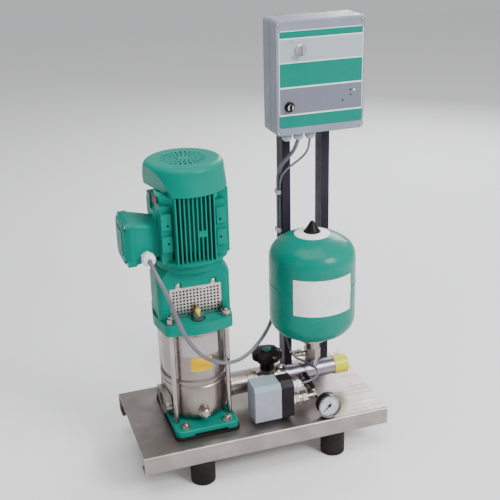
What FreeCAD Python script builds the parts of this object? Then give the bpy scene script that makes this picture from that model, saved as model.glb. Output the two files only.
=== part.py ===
import FreeCAD, Part
import math
import os

# Booster pump set: a vertical multistage pump, a pressure vessel, a valve line,
# a pressure switch, a gauge and a control box on one folded base plate.
# Millimetres. +Z is up, +X runs along the plate to the outlet, +Y to the back.
# The origin is on the floor, under the middle of the base plate.

V = FreeCAD.Vector
X_AXIS = V(1, 0, 0)
Y_AXIS = V(0, 1, 0)
Z_AXIS = V(0, 0, 1)

# Clearances
running_gap = 0.03
seat_gap = 0.3
bolt_gap = 0.5

# Base frame
plate_length = 600.0
plate_width = 300.0
sheet = 3.0
flange_depth = 45.0
lip_width = 38.0
fold_radius = 5.0
foot_radius = 29.0
foot_height = 62.0
foot_inset_left = 141.0
foot_inset_right = 131.0
foot_inset_side = 30.0
stud_radius = 5.0
post_width = 20.0
post_depth = 40.0
post_wall = 2.0
post_height = 903.0
post_left_x = 129.5
post_pitch = 100.0
post_front_y = 101.0
post_plug = 12.0
earth_bolt_x = 268.0
earth_bolt_y = 118.0

# Pump
pump_x = -137.0
line_y = -3.0
pad_thickness = 8.0
pad_margin = 3.0
base_size_x = 150.0
base_size_y = 212.0
base_thickness = 17.0
base_corner = 14.0
base_bolt_x = 100.0
base_bolt_y = 180.0
base_stud_radius = 5.0
port_height = 49.0
port_bore = 13.6
port_thread = 15.2
port_thread_depth = 13.0
port_boss = 27.0
port_reach = 84.0
drain_lift = 42.0
oval_length = 104.0
oval_height = 70.0
oval_thickness = 11.0
oval_bolt_pitch = 75.0
oval_core_radius = 4.25
housing_radius = 76.0
housing_height = 102.0
housing_wall = 3.0
bead_height = 8.0
bead_radius = 80.0
sleeve_radius = 75.0
sleeve_wall = 2.0
sleeve_height = 129.0
rod_radius = 5.8
rod_x = 64.0
rod_y = 62.0
rod_grip = 8.0
shaft_radius = 8.0
stage_count = 5
stage_shelf = 3.0
stage_drop = 22.0
stage_radius = 65.0
impeller_radius = 50.0

# Lantern between pump and motor
lantern_flange = 26.0
lantern_height = 146.0
lantern_size_x = 168.0
lantern_size_y = 92.0
lantern_corner = 16.0
lantern_wall = 9.0
flange_radius = 89.0
ear_radius = 15.0
window_width = 119.0
window_height = 72.0
window_sill = 1.0
window_offset = 1.5
guard_sheet = 1.0
guard_pitch = 7.9
guard_hole = 4.6
guard_border = 2.6
guard_screw_x = 40.5
guard_tab = 4.5
guard_recess = 3.0
neck_radius = 74.0
shoulder_drop = 25.0
vent_recess = 17.0
coupling_radius = 24.0
coupling_length = 62.0
vent_reach = 59.5
vent_flats = 19.0

# Motor
motor_length = 176.0
motor_flange_radius = 90.0
frame_radius = 68.0
frame_bore = 58.0
fin_reach = 85.0
fin_count = 10
fin_pitch = 9.4
fin_thickness = 3.2
pad_face = 70.0
pad_inner = 50.0
pad_outer = 72.0
rotor_radius = 41.0
stack_length = 92.0
motor_shaft_radius = 10.0
bearing_radius = 23.5
bearing_width = 14.0
cowl_rim_radius = 92.5
cowl_top_radius = 86.0
cowl_height = 61.0
cowl_sheet = 1.6
cowl_round = 14.0
relief_distance = 65.0
relief_lean = 20.0
relief_turn = 15.0
fan_radius = 69.5
terminal_reach = 126.0
terminal_half_width = 48.0
terminal_low = 22.0
terminal_tall = 98.0
terminal_taper = 6.0
terminal_wall = 4.0
terminal_lid_depth = 24.0
motor_gland_reach = 102.0
motor_gland_z = 40.0

# Valve line
tube_radius = 27.0
valve_bore = 13.0
check_length = 55.0
check_disc_radius = 16.0
spring_wire = 0.8
spring_radius = 11.5
spring_turns = 4
valve_length = 62.0
valve_inlet = 40.0
valve_body_radius = 27.0
valve_waist = 20.5
ball_radius = 17.0
stem_radius = 6.0
knob_radius = 37.0
knob_neck = 18.5
knob_foot = 27.0
bonnet_flats = 34.0
knob_star = 52.0
knob_height = 80.0
tee_length = 20.0
plug_radius = 9.7
plug_top = 30.0
manifold_radius = 21.2
manifold_wall = 2.6
manifold_length = 155.0
collar_radius = 24.5
cap_wall = 1.4
cap_cover = 24.0
cap_length = 37.0

# Pressure vessel
vessel_x = 163.0
vessel_radius = 103.0
vessel_height = 274.0
vessel_sheet = 2.0
vessel_crown = 150.0
vessel_knuckle = 45.0
vessel_seam = 12.0
vessel_lift = 95.0
vessel_ring = 37.0
vessel_neck = 17.6
vessel_hex = 36.0
cone_radius = 20.0
cone_height = 27.0
membrane_wall = 2.5

# Pressure switch and gauge
branch_tilt = 8.0
branch_radius = 7.0
gauge_branch_x = 130.0
branch_reach = 95.0
switch_x = -26.0
switch_cover_width = 65.0
switch_base_width = 32.0
switch_depth = 56.0
switch_front = 23.0
switch_height = 91.0
switch_port_height = 32.0
switch_bevel = 11.0
switch_collar = 9.0
gauge_radius = 29.0
gauge_depth = 26.0
dial_height = 19.5
gauge_x = 153.0
gauge_y = -142.5
gauge_lift = 32.0
gauge_tilt = 5.0

# Control box
box_left = 87.0
box_width = 212.0
box_height = 254.0
box_depth = 81.0
box_lift = 654.0
box_wall = 3.0
lid_depth = 36.0
box_corner = 8.0
joint_width = 2.5
joint_depth = 1.4
switch_knob_x = 145.1
switch_knob_lift = 843.8
selector_x = 117.8
selector_lift = 719.6
gland_radius = 11.5
gland_y = 62.0
gland_x = (127.0, 154.5, 183.4)

# Cables
motor_cable_radius = 4.5
switch_cable_radius = 2.6

# Heights that follow from the sizes above
plate_top = foot_height + flange_depth
pad_top = plate_top + pad_thickness
base_top = pad_top + base_thickness
line_z = pad_top + port_height
bead_z = base_top + housing_height
lantern_z = bead_z + sleeve_height
first_stage = bead_z - stage_drop
stage_pitch = (lantern_z - first_stage) / stage_count
ledge_z = lantern_z + lantern_flange
motor_z = lantern_z + lantern_height
motor_top = motor_z + motor_length
cowl_z = motor_top + 1.5
box_back = post_front_y
box_front = box_back - box_depth
box_bottom = plate_top + box_lift
vessel_z = line_z + vessel_lift
seam_z = vessel_z + vessel_height / 2 + vessel_seam
pump_axis = V(pump_x, line_y, 0)
outlet_x = pump_x + port_reach


def block(x0, x1, y0, y1, z0, z1):
    return Part.makeBox(x1 - x0, y1 - y0, z1 - z0, V(x0, y0, z0))


def rod(radius, length, start, direction=Z_AXIS):
    return Part.makeCylinder(radius, length, start, direction)


def pipe(outer, inner, length, start, direction=Z_AXIS):
    return rod(outer, length, start, direction).cut(rod(inner, length, start, direction))


def stand(shape, start, direction):
    # Takes a shape drawn along +Z at the origin to its start and direction.
    shape.Placement = FreeCAD.Placement(start, FreeCAD.Rotation(Z_AXIS, direction))
    return shape


def prism(points, length, start, direction=Z_AXIS):
    corners = [V(x, y, 0) for x, y in points]
    face = Part.Face(Part.makePolygon(corners + corners[:1]))
    return stand(face.extrude(V(0, 0, length)), start, direction)


def hexagon(flats, length, start, direction=Z_AXIS):
    reach = flats / math.sqrt(3)
    corners = [(reach * math.cos(math.radians(60 * i + 30)), reach * math.sin(math.radians(60 * i + 30)))
               for i in range(6)]
    return prism(corners, length, start, direction)


def turned(profile, start, direction=Z_AXIS):
    # profile: (radius, height) corners of half the section
    corners = [V(r, 0, h) for r, h in profile]
    face = Part.Face(Part.makePolygon(corners + corners[:1]))
    return stand(face.revolve(V(0, 0, 0), Z_AXIS, 360), start, direction)


def fused(shapes):
    return shapes[0].fuse(shapes[1:]).removeSplitter()


def edges_along(shape, direction):
    found = []
    for edge in shape.Edges:
        if isinstance(edge.Curve, Part.Line):
            if abs(abs(edge.Curve.Direction.dot(direction)) - 1) < 1e-6:
                found.append(edge)
    return found


def rounded_block(x0, x1, y0, y1, z0, z1, radius, along=Z_AXIS):
    shape = block(x0, x1, y0, y1, z0, z1)
    return shape.makeFillet(radius, edges_along(shape, along))


def rounded_wire(width, height, radius, place):
    # A rounded rectangle in its own XY plane, then moved by place
    w = width / 2
    h = height / 2
    c = radius * (1 - math.sqrt(0.5))
    parts = []
    sides = [(-w + radius, -h, w - radius, -h), (w, -h + radius, w, h - radius),
             (w - radius, h, -w + radius, h), (-w, h - radius, -w, -h + radius)]
    mids = [(w - c, -h + c), (w - c, h - c), (-w + c, h - c), (-w + c, -h + c)]
    for i, (ax, ay, bx, by) in enumerate(sides):
        nx, ny = sides[(i + 1) % 4][:2]
        mx, my = mids[i]
        parts.append(Part.LineSegment(V(ax, ay, 0), V(bx, by, 0)).toShape())
        parts.append(Part.Arc(V(bx, by, 0), V(mx, my, 0), V(nx, ny, 0)).toShape())
    wire = Part.Wire(parts)
    wire.Placement = place
    return wire


def screw(flats, head, radius, length, seat, direction=Z_AXIS):
    # The head stands on its seat along direction, and the shank goes the other way
    return fused([hexagon(flats, head, seat, direction), rod(radius, length, seat, direction * -1)])


def save(name, solids):
    shape = Part.makeCompound(solids) if isinstance(solids, list) else solids
    shape.exportStep("parts/" + name + ".step")
    print(name, len(shape.Solids), "solids", "valid" if shape.isValid() else "NOT VALID")


# Places that several pieces share
foot_places = [V(x, y, 0)
               for x in (-plate_length / 2 + foot_inset_left, plate_length / 2 - foot_inset_right)
               for y in (-plate_width / 2 + foot_inset_side, plate_width / 2 - foot_inset_side)]
post_lefts = [post_left_x, post_left_x + post_pitch]
post_centres = [V(x + post_width / 2, post_front_y + post_depth / 2, 0) for x in post_lefts]
base_bolts = [pump_axis + V(sx * base_bolt_x / 2, sy * base_bolt_y / 2, 0) for sx in (-1, 1) for sy in (-1, 1)]
rod_places = [pump_axis + V(sx * rod_x, sy * rod_y, 0) for sx in (-1, 1) for sy in (-1, 1)]


def base_plate():
    outer = rounded_block(-plate_length / 2, plate_length / 2, -plate_width / 2, plate_width / 2,
                          foot_height, plate_top, fold_radius, X_AXIS)
    inner = rounded_block(-plate_length / 2, plate_length / 2, -plate_width / 2 + sheet,
                          plate_width / 2 - sheet, foot_height + sheet, plate_top - sheet,
                          fold_radius - sheet, X_AXIS)
    gap = plate_width / 2 - lip_width
    slot = block(-plate_length / 2, plate_length / 2, -gap, gap, foot_height, foot_height + sheet)
    holes = []
    for place in foot_places:
        holes.append(rod(stud_radius + bolt_gap, sheet, place + V(0, 0, foot_height)))
    for place in base_bolts:
        holes.append(rod(base_stud_radius + bolt_gap, sheet, place + V(0, 0, plate_top - sheet)))
    for place in post_centres:
        holes.append(rod(4 + bolt_gap, sheet, place + V(0, 0, plate_top - sheet)))
    holes.append(rod(4 + bolt_gap, sheet, V(earth_bolt_x, earth_bolt_y, plate_top - sheet)))
    return outer.cut([inner, slot] + holes)


def rubber_feet():
    feet = []
    for place in foot_places:
        body = turned([(0, 0), (foot_radius - 2, 0), (foot_radius, 2), (foot_radius, foot_height - 1.5),
                       (foot_radius - 1.5, foot_height), (0, foot_height)], place)
        feet.append(body.cut(rod(stud_radius, foot_height * 0.4, place + V(0, 0, foot_height * 0.6))))
    return feet


def frame_screws():
    pieces = []
    # Foot studs with their nuts on the lips
    for place in foot_places:
        stud = rod(stud_radius, foot_height * 0.4 + sheet + 11, place + V(0, 0, foot_height * 0.6))
        nut = hexagon(17, 8, place + V(0, 0, foot_height + sheet))
        pieces.append(fused([stud, nut]))
    # Screws from below into the plugs of the posts
    for place in post_centres:
        seat = place + V(0, 0, plate_top - sheet)
        pieces.append(screw(13, 5.5, 4, sheet + post_plug - 1, seat, V(0, 0, -1)))
    # Earth bolt with its nut and washer on the plate
    earth = V(earth_bolt_x, earth_bolt_y, plate_top)
    pieces.append(fused([rod(4, sheet + 13, earth - V(0, 0, sheet)), rod(8, 1.6, earth),
                         hexagon(13, 6.5, earth + V(0, 0, 1.6)), hexagon(13, 5, earth - V(0, 0, sheet + 5))]))
    # Screws that hold the control box to the posts
    for centre in post_centres:
        for lift in (45, box_height - 45):
            seat = V(centre.x, box_back - box_wall, box_bottom + lift)
            pieces.append(screw(8, 3.5, 2.5, box_wall + post_wall + 2, seat, V(0, -1, 0)))
    return pieces


def support_posts():
    posts = []
    for left in post_lefts:
        back = post_front_y + post_depth
        body = block(left, left + post_width, post_front_y, back, plate_top, plate_top + post_height)
        hollow = block(left + post_wall, left + post_width - post_wall, post_front_y + post_wall,
                       back - post_wall, plate_top + post_plug, plate_top + post_height - post_wall)
        centre = V(left + post_width / 2, post_front_y + post_depth / 2, plate_top)
        cuts = [hollow, rod(4, post_plug, centre)]
        for lift in (45, box_height - 45):
            cuts.append(rod(2.5, post_wall, V(centre.x, post_front_y, box_bottom + lift), Y_AXIS))
        posts.append(body.cut(cuts))
    return posts


def pump_pad():
    w = base_size_x / 2 + pad_margin
    d = base_size_y / 2 + pad_margin
    body = rounded_block(pump_x - w, pump_x + w, line_y - d, line_y + d, plate_top, pad_top,
                         base_corner + pad_margin)
    return body.cut([rod(base_stud_radius + bolt_gap, pad_thickness, place + V(0, 0, plate_top))
                     for place in base_bolts])


def pump_base():
    w = base_size_x / 2
    d = base_size_y / 2
    body = rounded_block(pump_x - w, pump_x + w, line_y - d, line_y + d, pad_top, base_top - 2, base_corner)
    top_edges = [e for e in body.Edges if e.BoundBox.ZMin > base_top - 2.01]
    body = body.makeChamfer(3, top_edges)
    seat = rod(housing_radius - 1, 4, pump_axis + V(0, 0, base_top - 4))
    body = fused([body, seat])
    # Hollow underside, the low arches along the front and back, and the stud holes
    rib = 9
    cuts = [block(pump_x - w + rib, pump_x + w - rib, line_y - d + 36, line_y + d - 36, pad_top, pad_top + 8)]
    for side in (-1, 1):
        y = line_y + side * d
        cuts.append(block(pump_x - w * 0.44, pump_x + w * 0.62, min(y, y - side * 5), max(y, y - side * 5),
                          pad_top, pad_top + 5))
    for place in base_bolts:
        cuts.append(rod(base_stud_radius + bolt_gap, base_thickness, place + V(0, 0, pad_top)))
    for place in rod_places:
        cuts.append(rod(rod_radius, rod_grip, place + V(0, 0, base_top - 2 - rod_grip)))
    # Shallow hollow under the suction flange
    start = V(pump_x - port_reach + oval_thickness + 5, line_y, line_z)
    cuts.append(rod(oval_height / 2 + 0.5, oval_thickness + 5, start, V(-1, 0, 0)))
    return body.cut(cuts)


def base_nuts():
    pieces = []
    for place in base_bolts:
        foot = plate_top - sheet
        stud = rod(base_stud_radius, base_top - foot + 16, place + V(0, 0, foot - 5))
        nut = hexagon(17, 8, place + V(0, 0, base_top))
        washer = rod(11, 2, place + V(0, 0, base_top - 2))
        head = hexagon(17, 6, place + V(0, 0, foot - 6))
        pieces.append(fused([stud, nut, washer, head]))
    return pieces


drain_place = V(pump_x - 1, line_y - housing_radius + 4, pad_top + drain_lift)


def pump_housing():
    low = base_top
    high = bead_z + bead_height / 2
    step = bead_z - bead_height / 2
    r = housing_radius
    w = housing_wall
    outer = turned([(0, low), (r - 12, low), (r - 4, low + 3), (r - 1, low + 9), (r, low + 16), (r, step - 12),
                    (r - 1.5, step - 10), (r - 1.5, step - 7), (r, step - 5), (r, step),
                    (bead_radius, step + 2), (bead_radius, high - 2), (r, high), (0, high)], pump_axis)
    inner = turned([(0, low + w), (r - 14, low + w), (r - 6, low + 9), (r - w - 1.5, low + 18),
                    (r - w - 1.5, high - bead_height), (sleeve_radius + 0.2, high - bead_height),
                    (sleeve_radius + 0.2, high), (0, high)], pump_axis)
    centre = V(pump_x, line_y, line_z)
    boss_length = port_reach - oval_thickness
    bosses = [rod(port_boss - 2, port_reach, centre, X_AXIS), rod(port_boss, boss_length, centre, V(-1, 0, 0))]
    boss_y = line_y - housing_radius
    drain_boss = rod(15, 14, V(drain_place.x, boss_y - 3, drain_place.z), Y_AXIS)
    face = oval_plate(pump_x - boss_length + 4, V(-1, 0, 0), oval_thickness + 4)
    body = fused([outer] + bosses + [drain_boss, face])
    bore = rod(port_bore, 2 * port_reach, centre - V(port_reach, 0, 0), X_AXIS)
    thread = rod(port_thread, port_thread_depth, centre - V(port_reach, 0, 0), X_AXIS)
    drain_hole = rod(8, 20, V(drain_place.x, boss_y - 3, drain_place.z), Y_AXIS)
    holes = []
    for side in (-1, 1):
        start = V(pump_x - boss_length, line_y + side * oval_bolt_pitch / 2, line_z)
        holes.append(rod(oval_core_radius, oval_thickness, start, V(-1, 0, 0)))
    body = body.cut([inner, bore, thread, drain_hole] + holes)
    # Shelf that carries the stack of stages
    shelf = pipe(r - w - 0.5, stage_radius - 8, stage_shelf, V(pump_x, line_y, first_stage - stage_shelf))
    return fused([body, shelf])


def oval_plate(x, direction, thickness):
    # Oval flange lying in the YZ plane, its long axis along Y
    half = oval_length / 2
    flat = oval_height / 2
    start = V(x, line_y, line_z)
    hub = rod(flat, thickness, start, direction)
    ears = [rod(half - oval_bolt_pitch / 2, thickness, start + V(0, side * oval_bolt_pitch / 2, 0), direction)
            for side in (-1, 1)]
    ear = half - oval_bolt_pitch / 2
    pitch = oval_bolt_pitch / 2
    # Straight flanks that run from the hub to the ears
    lean = math.acos((flat - ear) / pitch)
    cy = math.cos(lean)
    cz = math.sin(lean)
    corners = []
    for sy, sz in ((1, 1), (-1, 1), (-1, -1), (1, -1)):
        pair = [V(x, line_y + sy * flat * cy, line_z + sz * flat * cz),
                V(x, line_y + sy * (pitch + ear * cy), line_z + sz * ear * cz)]
        corners.extend(pair if sy * sz < 0 else pair[::-1])
    flank = Part.Face(Part.makePolygon(corners + corners[:1])).extrude(direction * thickness)
    return fused([hub, flank] + ears)


def drain_plug():
    seat = V(drain_place.x, line_y - housing_radius - 3, drain_place.z)
    out = V(0, -1, 0)
    collar = rod(13, 3, seat, out)
    head = hexagon(21, 9, seat + out * 3, out)
    dome = turned([(0, 12), (10.4, 12), (7, 14.5), (0, 15)], seat, out)
    shank = rod(7.9, 15, seat, Y_AXIS)
    return fused([collar, head, dome, shank])


def outer_sleeve():
    low = bead_z - bead_height / 2 + 0.1
    return pipe(sleeve_radius, sleeve_radius - sleeve_wall, lantern_z - low, V(pump_x, line_y, low))


def tie_rods():
    pieces = []
    for place in rod_places:
        low = base_top - 2 - rod_grip
        top = ledge_z + 18
        pieces.append(rod(rod_radius, top - low, place + V(0, 0, low)))
        nut = fused([rod(11, 2.5, place + V(0, 0, ledge_z)),
                     hexagon(18, 10, place + V(0, 0, ledge_z + 2.5))])
        pieces.append(nut.cut(rod(rod_radius, 20, place + V(0, 0, ledge_z))))
    return pieces


window_low = ledge_z + window_sill
window_high = window_low + window_height
guard_x = pump_x + window_offset
guard_faces = [line_y + side * (lantern_size_y / 2 - guard_recess) for side in (-1, 1)]
guard_screw_z = window_high + 8
vent_place = V(pump_x, line_y - vent_reach, ledge_z)


def eared_flange():
    # Round flange whose edge runs on in straight lines to an ear round each tie rod
    shapes = [rod(flange_radius, lantern_flange, pump_axis + V(0, 0, lantern_z))]
    for place in rod_places:
        arm = place - pump_axis
        heading = math.atan2(arm.y, arm.x)
        lean = math.acos((flange_radius - ear_radius) / arm.Length)
        corners = [pump_axis]
        for side in (1, -1):
            out = V(math.cos(heading + side * lean), math.sin(heading + side * lean), 0)
            pair = [pump_axis + out * flange_radius, place + out * ear_radius]
            corners.extend(pair[::side])
        face = Part.Face(Part.makePolygon(corners + corners[:1]))
        face.translate(V(0, 0, lantern_z))
        shapes.append(face.extrude(V(0, 0, lantern_flange)))
        shapes.append(rod(ear_radius, lantern_flange, place + V(0, 0, lantern_z)))
    return fused(shapes)


def lantern():
    w = lantern_size_x / 2
    d = lantern_size_y / 2
    shoulder = motor_z - shoulder_drop
    flange = eared_flange()
    shaft = rounded_block(pump_x - w, pump_x + w, line_y - d, line_y + d, ledge_z - 1, shoulder, lantern_corner)
    # Shoulders that lead from the box to the width of the neck
    slopes = rounded_block(pump_x - w, pump_x + w, line_y - d, line_y + d, shoulder - 1, motor_z,
                           lantern_corner)
    cone = neck_radius + 16
    slopes = slopes.common(turned([(0, shoulder - 1), (cone, shoulder - 1), (cone, shoulder),
                                   (neck_radius + 1, motor_z), (0, motor_z)], pump_axis))
    # Upper end that flares from the box to the round neck
    flare = turned([(0, shoulder + 5), (d + 1, shoulder + 5), (neck_radius, motor_z - 3),
                    (neck_radius, motor_z), (0, motor_z)], pump_axis)
    body = fused([flange, shaft, slopes, flare])
    cavity = rounded_block(pump_x - w + lantern_wall, pump_x + w - lantern_wall, line_y - d + lantern_wall,
                           line_y + d - lantern_wall, ledge_z, shoulder - 23, lantern_corner - lantern_wall)
    half = window_width / 2
    window = rounded_block(guard_x - half + 3, guard_x + half - 3, line_y - d - 20, line_y + d + 20,
                           window_low + 3, window_high - 3, 5, Y_AXIS)
    seats = []
    for side, face in zip((-1, 1), guard_faces):
        far = face + side * 60
        y0 = min(face, far)
        y1 = max(face, far)
        seats.append(block(guard_x - half - 1, guard_x + half + 1, y0, y1, window_low - 1, window_high + 1))
        for screw_side in (-1, 1):
            sx = guard_x + screw_side * guard_screw_x
            seats.append(block(sx - 8, sx + 8, y0, y1, window_high, guard_screw_z + 7))
            seats.append(rod(2.2, 14, V(sx, face, guard_screw_z), V(0, -side, 0)))
    holes = [rod(rod_radius + bolt_gap, lantern_flange, place + V(0, 0, lantern_z)) for place in rod_places]
    throat = rod(33, 60, pump_axis + V(0, 0, shoulder - 25))
    seal_bore = rod(15, lantern_flange, pump_axis + V(0, 0, lantern_z))
    register = turned([(0, lantern_z), (stage_radius - 6, lantern_z), (stage_radius - 14, lantern_z + 8),
                       (0, lantern_z + 8)], pump_axis)
    vent_hole = rod(7.5, 16, vent_place - V(0, 0, 16))
    vent_sink = rod(vent_recess, 4, vent_place - V(0, 0, 4))
    return body.cut([cavity, window, throat, seal_bore, register, vent_hole, vent_sink] + seats + holes)


def coupling_guards():
    guards = []
    half = window_width / 2
    columns = int((window_width - 2 * guard_border) / guard_pitch)
    rows = int((window_height - 2 * guard_border) / guard_pitch)
    h = guard_hole / 2
    for side, face in zip((-1, 1), guard_faces):
        low = min(face, face + side * guard_sheet)
        high = max(face, face + side * guard_sheet)
        plate = block(guard_x - half, guard_x + half, low, high, window_low, window_high + 0.5)
        tabs = []
        for screw_side in (-1, 1):
            sx = guard_x + screw_side * guard_screw_x
            tab = block(sx - guard_tab, sx + guard_tab, low, high, window_high - 1, guard_screw_z + guard_tab)
            tabs.append(tab.cut(rod(2.3, guard_sheet, V(sx, low, guard_screw_z), Y_AXIS)))
        holes = []
        for i in range(columns):
            for j in range(rows):
                cx = guard_x + (i - (columns - 1) / 2) * guard_pitch
                cz = (window_low + window_high) / 2 + (j - (rows - 1) / 2) * guard_pitch
                holes.append(block(cx - h, cx + h, low - 1, high + 1, cz - h, cz + h))
        guards.append(fused([plate] + tabs).cut(holes))
    return guards


def pan_screw(seat, direction, head=4.6, radius=2.1, length=10):
    cap = turned([(0, 0), (head, 0), (head, 1.6), (head * 0.6, 3), (0, 3.2)], seat, direction)
    return fused([cap, rod(radius, length, seat, direction * -1)])


lid_screw_places = [V(box_left + box_width / 2 + sx * (box_width / 2 - 6), box_front, box_bottom + z)
                    for sx in (-1, 1) for z in (5.5, box_height - 9)]
terminal_x = pump_x - terminal_reach
terminal_mid = motor_z + terminal_low + terminal_tall / 2
lug_places = [V(terminal_x - terminal_lid_depth + 6, line_y + sy * (terminal_half_width - 7),
                terminal_mid + sz * (terminal_tall / 2 - 7)) for sy in (-1, 1) for sz in (-1, 1)]


def cover_screws():
    pieces = []
    for side, face in zip((-1, 1), guard_faces):
        for screw_side in (-1, 1):
            seat = V(guard_x + screw_side * guard_screw_x, face + side * guard_sheet, guard_screw_z)
            pieces.append(pan_screw(seat, V(0, side, 0)))
    for place in lid_screw_places:
        pieces.append(pan_screw(place - V(0, -1, 0), V(0, -1, 0), 3.6, 1.8, 20))
    for place in lug_places:
        pieces.append(pan_screw(place, V(-1, 0, 0), 4.2, 2, 16))
    return pieces


def vent_plug():
    seat = vent_place - V(0, 0, 4)
    return fused([rod(7.4, 11, seat - V(0, 0, 11)), rod(11.5, 5, seat), hexagon(vent_flats, 10, seat + V(0, 0, 5)),
                  rod(7, 5, seat + V(0, 0, 15))])


def vent_cap():
    seat = vent_place + V(0, 0, 16)
    return turned([(0, 0), (6.4, 0), (6.4, 5), (5, 7.5), (0, 8.5)], seat)


def stage_casings():
    bowls = []
    for i in range(stage_count):
        z = first_stage + i * stage_pitch
        bowls.append(turned([(shaft_radius + 8, z), (stage_radius, z), (stage_radius, z + stage_pitch),
                             (stage_radius - 2, z + stage_pitch), (stage_radius - 2, z + 3),
                             (shaft_radius + 8, z + 3)], pump_axis))
    return bowls


def impellers():
    wheels = []
    for i in range(stage_count):
        z = first_stage + i * stage_pitch + 7
        r = impeller_radius
        bore = shaft_radius + 0.02
        lower = turned([(bore + 10, z), (r, z + 1), (r, z + 2.2), (bore + 10, z + 2)], pump_axis)
        upper = turned([(bore, z + 11), (r, z + 7), (r, z + 8.2), (bore, z + 16)], pump_axis)
        hub = pipe(bore + 4, bore, 17, pump_axis + V(0, 0, z))
        blades = []
        for k in range(6):
            blade = block(bore + 6, r - 1, -0.8, 0.8, z + 1, z + 9)
            blade.rotate(V(bore + 6, 0, 0), Z_AXIS, 34)
            blade.rotate(V(0, 0, 0), Z_AXIS, 60 * k)
            blade.translate(pump_axis)
            blades.append(blade)
        rim = rod(r, 20, pump_axis + V(0, 0, z))
        blades = [blade.common(rim) for blade in blades]
        wheels.append(fused([upper, hub, lower] + blades))
    return wheels


coupling_z = ledge_z + 22


def pump_shaft():
    low = base_top + 14
    top = coupling_z + coupling_length / 2 - 0.5
    return fused([rod(shaft_radius, top - low, pump_axis + V(0, 0, low)),
                  rod(shaft_radius + 3, 3, pump_axis + V(0, 0, first_stage + 3.4))])


def shaft_seal():
    # The ring of the mechanical seal that turns with the shaft, with its collar
    z = ledge_z + 0.5
    return turned([(shaft_radius + 0.02, z), (14, z), (14, z + 5), (12, z + 7), (12, z + 16),
                   (shaft_radius + 0.02, z + 16)], pump_axis)


def coupling_shells():
    shells = []
    z = coupling_z
    for side in (-1, 1):
        half = turned([(shaft_radius + 0.02, z), (coupling_radius, z), (coupling_radius, z + coupling_length),
                       (motor_shaft_radius - 0.48, z + coupling_length),
                       (motor_shaft_radius - 0.48, z + coupling_length / 2),
                       (shaft_radius + 0.02, z + coupling_length / 2)], pump_axis)
        reach = coupling_radius + 1
        keep = block(pump_x - reach, pump_x + reach, min(line_y + side * 0.4, line_y + side * reach),
                     max(line_y + side * 0.4, line_y + side * reach), z, z + coupling_length)
        shell = half.common(keep)
        flats = []
        for lift in (12, coupling_length - 12):
            for sx in (-1, 1):
                hole = V(pump_x + sx * 16.5, line_y - reach, z + lift)
                flats.append(rod(3, 2 * reach, hole, Y_AXIS))
                for cut_y in (line_y - reach, line_y + 17):
                    flats.append(rod(6, reach - 17, V(hole.x, cut_y, hole.z), Y_AXIS))
        shells.append(shell.cut(flats))
    for lift in (12, coupling_length - 12):
        for sx in (-1, 1):
            seat = V(pump_x + sx * 16.5, line_y - 17, z + lift)
            shells.append(fused([rod(2.9, 34, seat, Y_AXIS), hexagon(9, 5, seat + V(0, -5, 0), Y_AXIS),
                                 hexagon(9, 5, seat + V(0, 34, 0), Y_AXIS)]))
    return shells


def motor_frame():
    z = motor_z
    h = motor_length
    seat = bearing_radius + 0.02
    shell = turned([(13, 0), (neck_radius, 0), (neck_radius, 11), (motor_flange_radius, 20),
                    (motor_flange_radius, 27), (frame_radius, 32), (frame_radius, h), (frame_bore, h),
                    (frame_bore, 38), (seat + 4, 30), (seat, 30), (seat, 8), (13, 8)], pump_axis + V(0, 0, z))
    pieces = [shell]
    low = z + 26
    span = (fin_count - 1) * fin_pitch
    for i in range(fin_count):
        offset = -span / 2 + i * fin_pitch
        for side in (-1, 1):
            y0 = line_y + side * (frame_radius - 22)
            y1 = line_y + side * fin_reach
            pieces.append(block(pump_x + offset - fin_thickness / 2, pump_x + offset + fin_thickness / 2,
                                min(y0, y1), max(y0, y1), low, z + h))
        pieces.append(block(pump_x + frame_radius - 22, pump_x + fin_reach, line_y + offset - fin_thickness / 2,
                            line_y + offset + fin_thickness / 2, low, z + h))
    # Foot pads at the four corners, a flat to carry the terminal box and a small boss in the fins
    for sx in (-1, 1):
        for sy in (-1, 1):
            x0 = pump_x + sx * pad_inner
            x1 = pump_x + sx * pad_outer
            y0 = line_y + sy * (pad_inner - 16)
            y1 = line_y + sy * pad_face
            for rise, tall, depth in ((24, 132, 8), (54, 36, 0), (104, 36, 0), (88, 18, 4)):
                pieces.append(block(min(x0, x1), max(x0, x1), min(y0, y1 - sy * depth), max(y0, y1 - sy * depth),
                                    z + rise, z + rise + tall))
    pieces.append(block(pump_x - pad_outer, pump_x - pad_inner, line_y - 40, line_y + 40, z + 26, z + 124))
    pieces.append(block(pump_x + 4, pump_x + 22, line_y - fin_reach, line_y - frame_radius + 10, z + 84, z + 98))
    body = fused(pieces)
    cuts = [rod(frame_bore, h - 38, pump_axis + V(0, 0, z + 38))]
    for sx in (-1, 1):
        for sy in (-1, 1):
            for rise in (73, 114):
                start = V(pump_x + sx * 58, line_y + sy * pad_face, z + rise)
                cuts.append(rod(2.6, 9, start, V(0, -sy, 0)))
    cuts.append(block(pump_x - pad_outer - 1, pump_x - pad_inner - 6, line_y - 14, line_y + 14, z + 60, z + 90))
    frame = body.cut(cuts)
    rim = relief_distance - cowl_sheet - 2
    shield = turned([(seat, 0), (rim, 0), (rim, 8), (30, 15), (11, 15), (11, 11), (seat, 11)],
                    pump_axis + V(0, 0, motor_top))
    return [frame, shield]


def stator_core():
    ring = pipe(frame_bore - 0.05, rotor_radius + 0.6, stack_length, pump_axis + V(0, 0, motor_z + 44))
    winding = turned([(44, 0), (55, 0), (55, 12), (52, 16), (46, 16), (44, 12)],
                     pump_axis + V(0, 0, motor_z + 44 + stack_length + 0.05))
    return [ring, winding]


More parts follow.
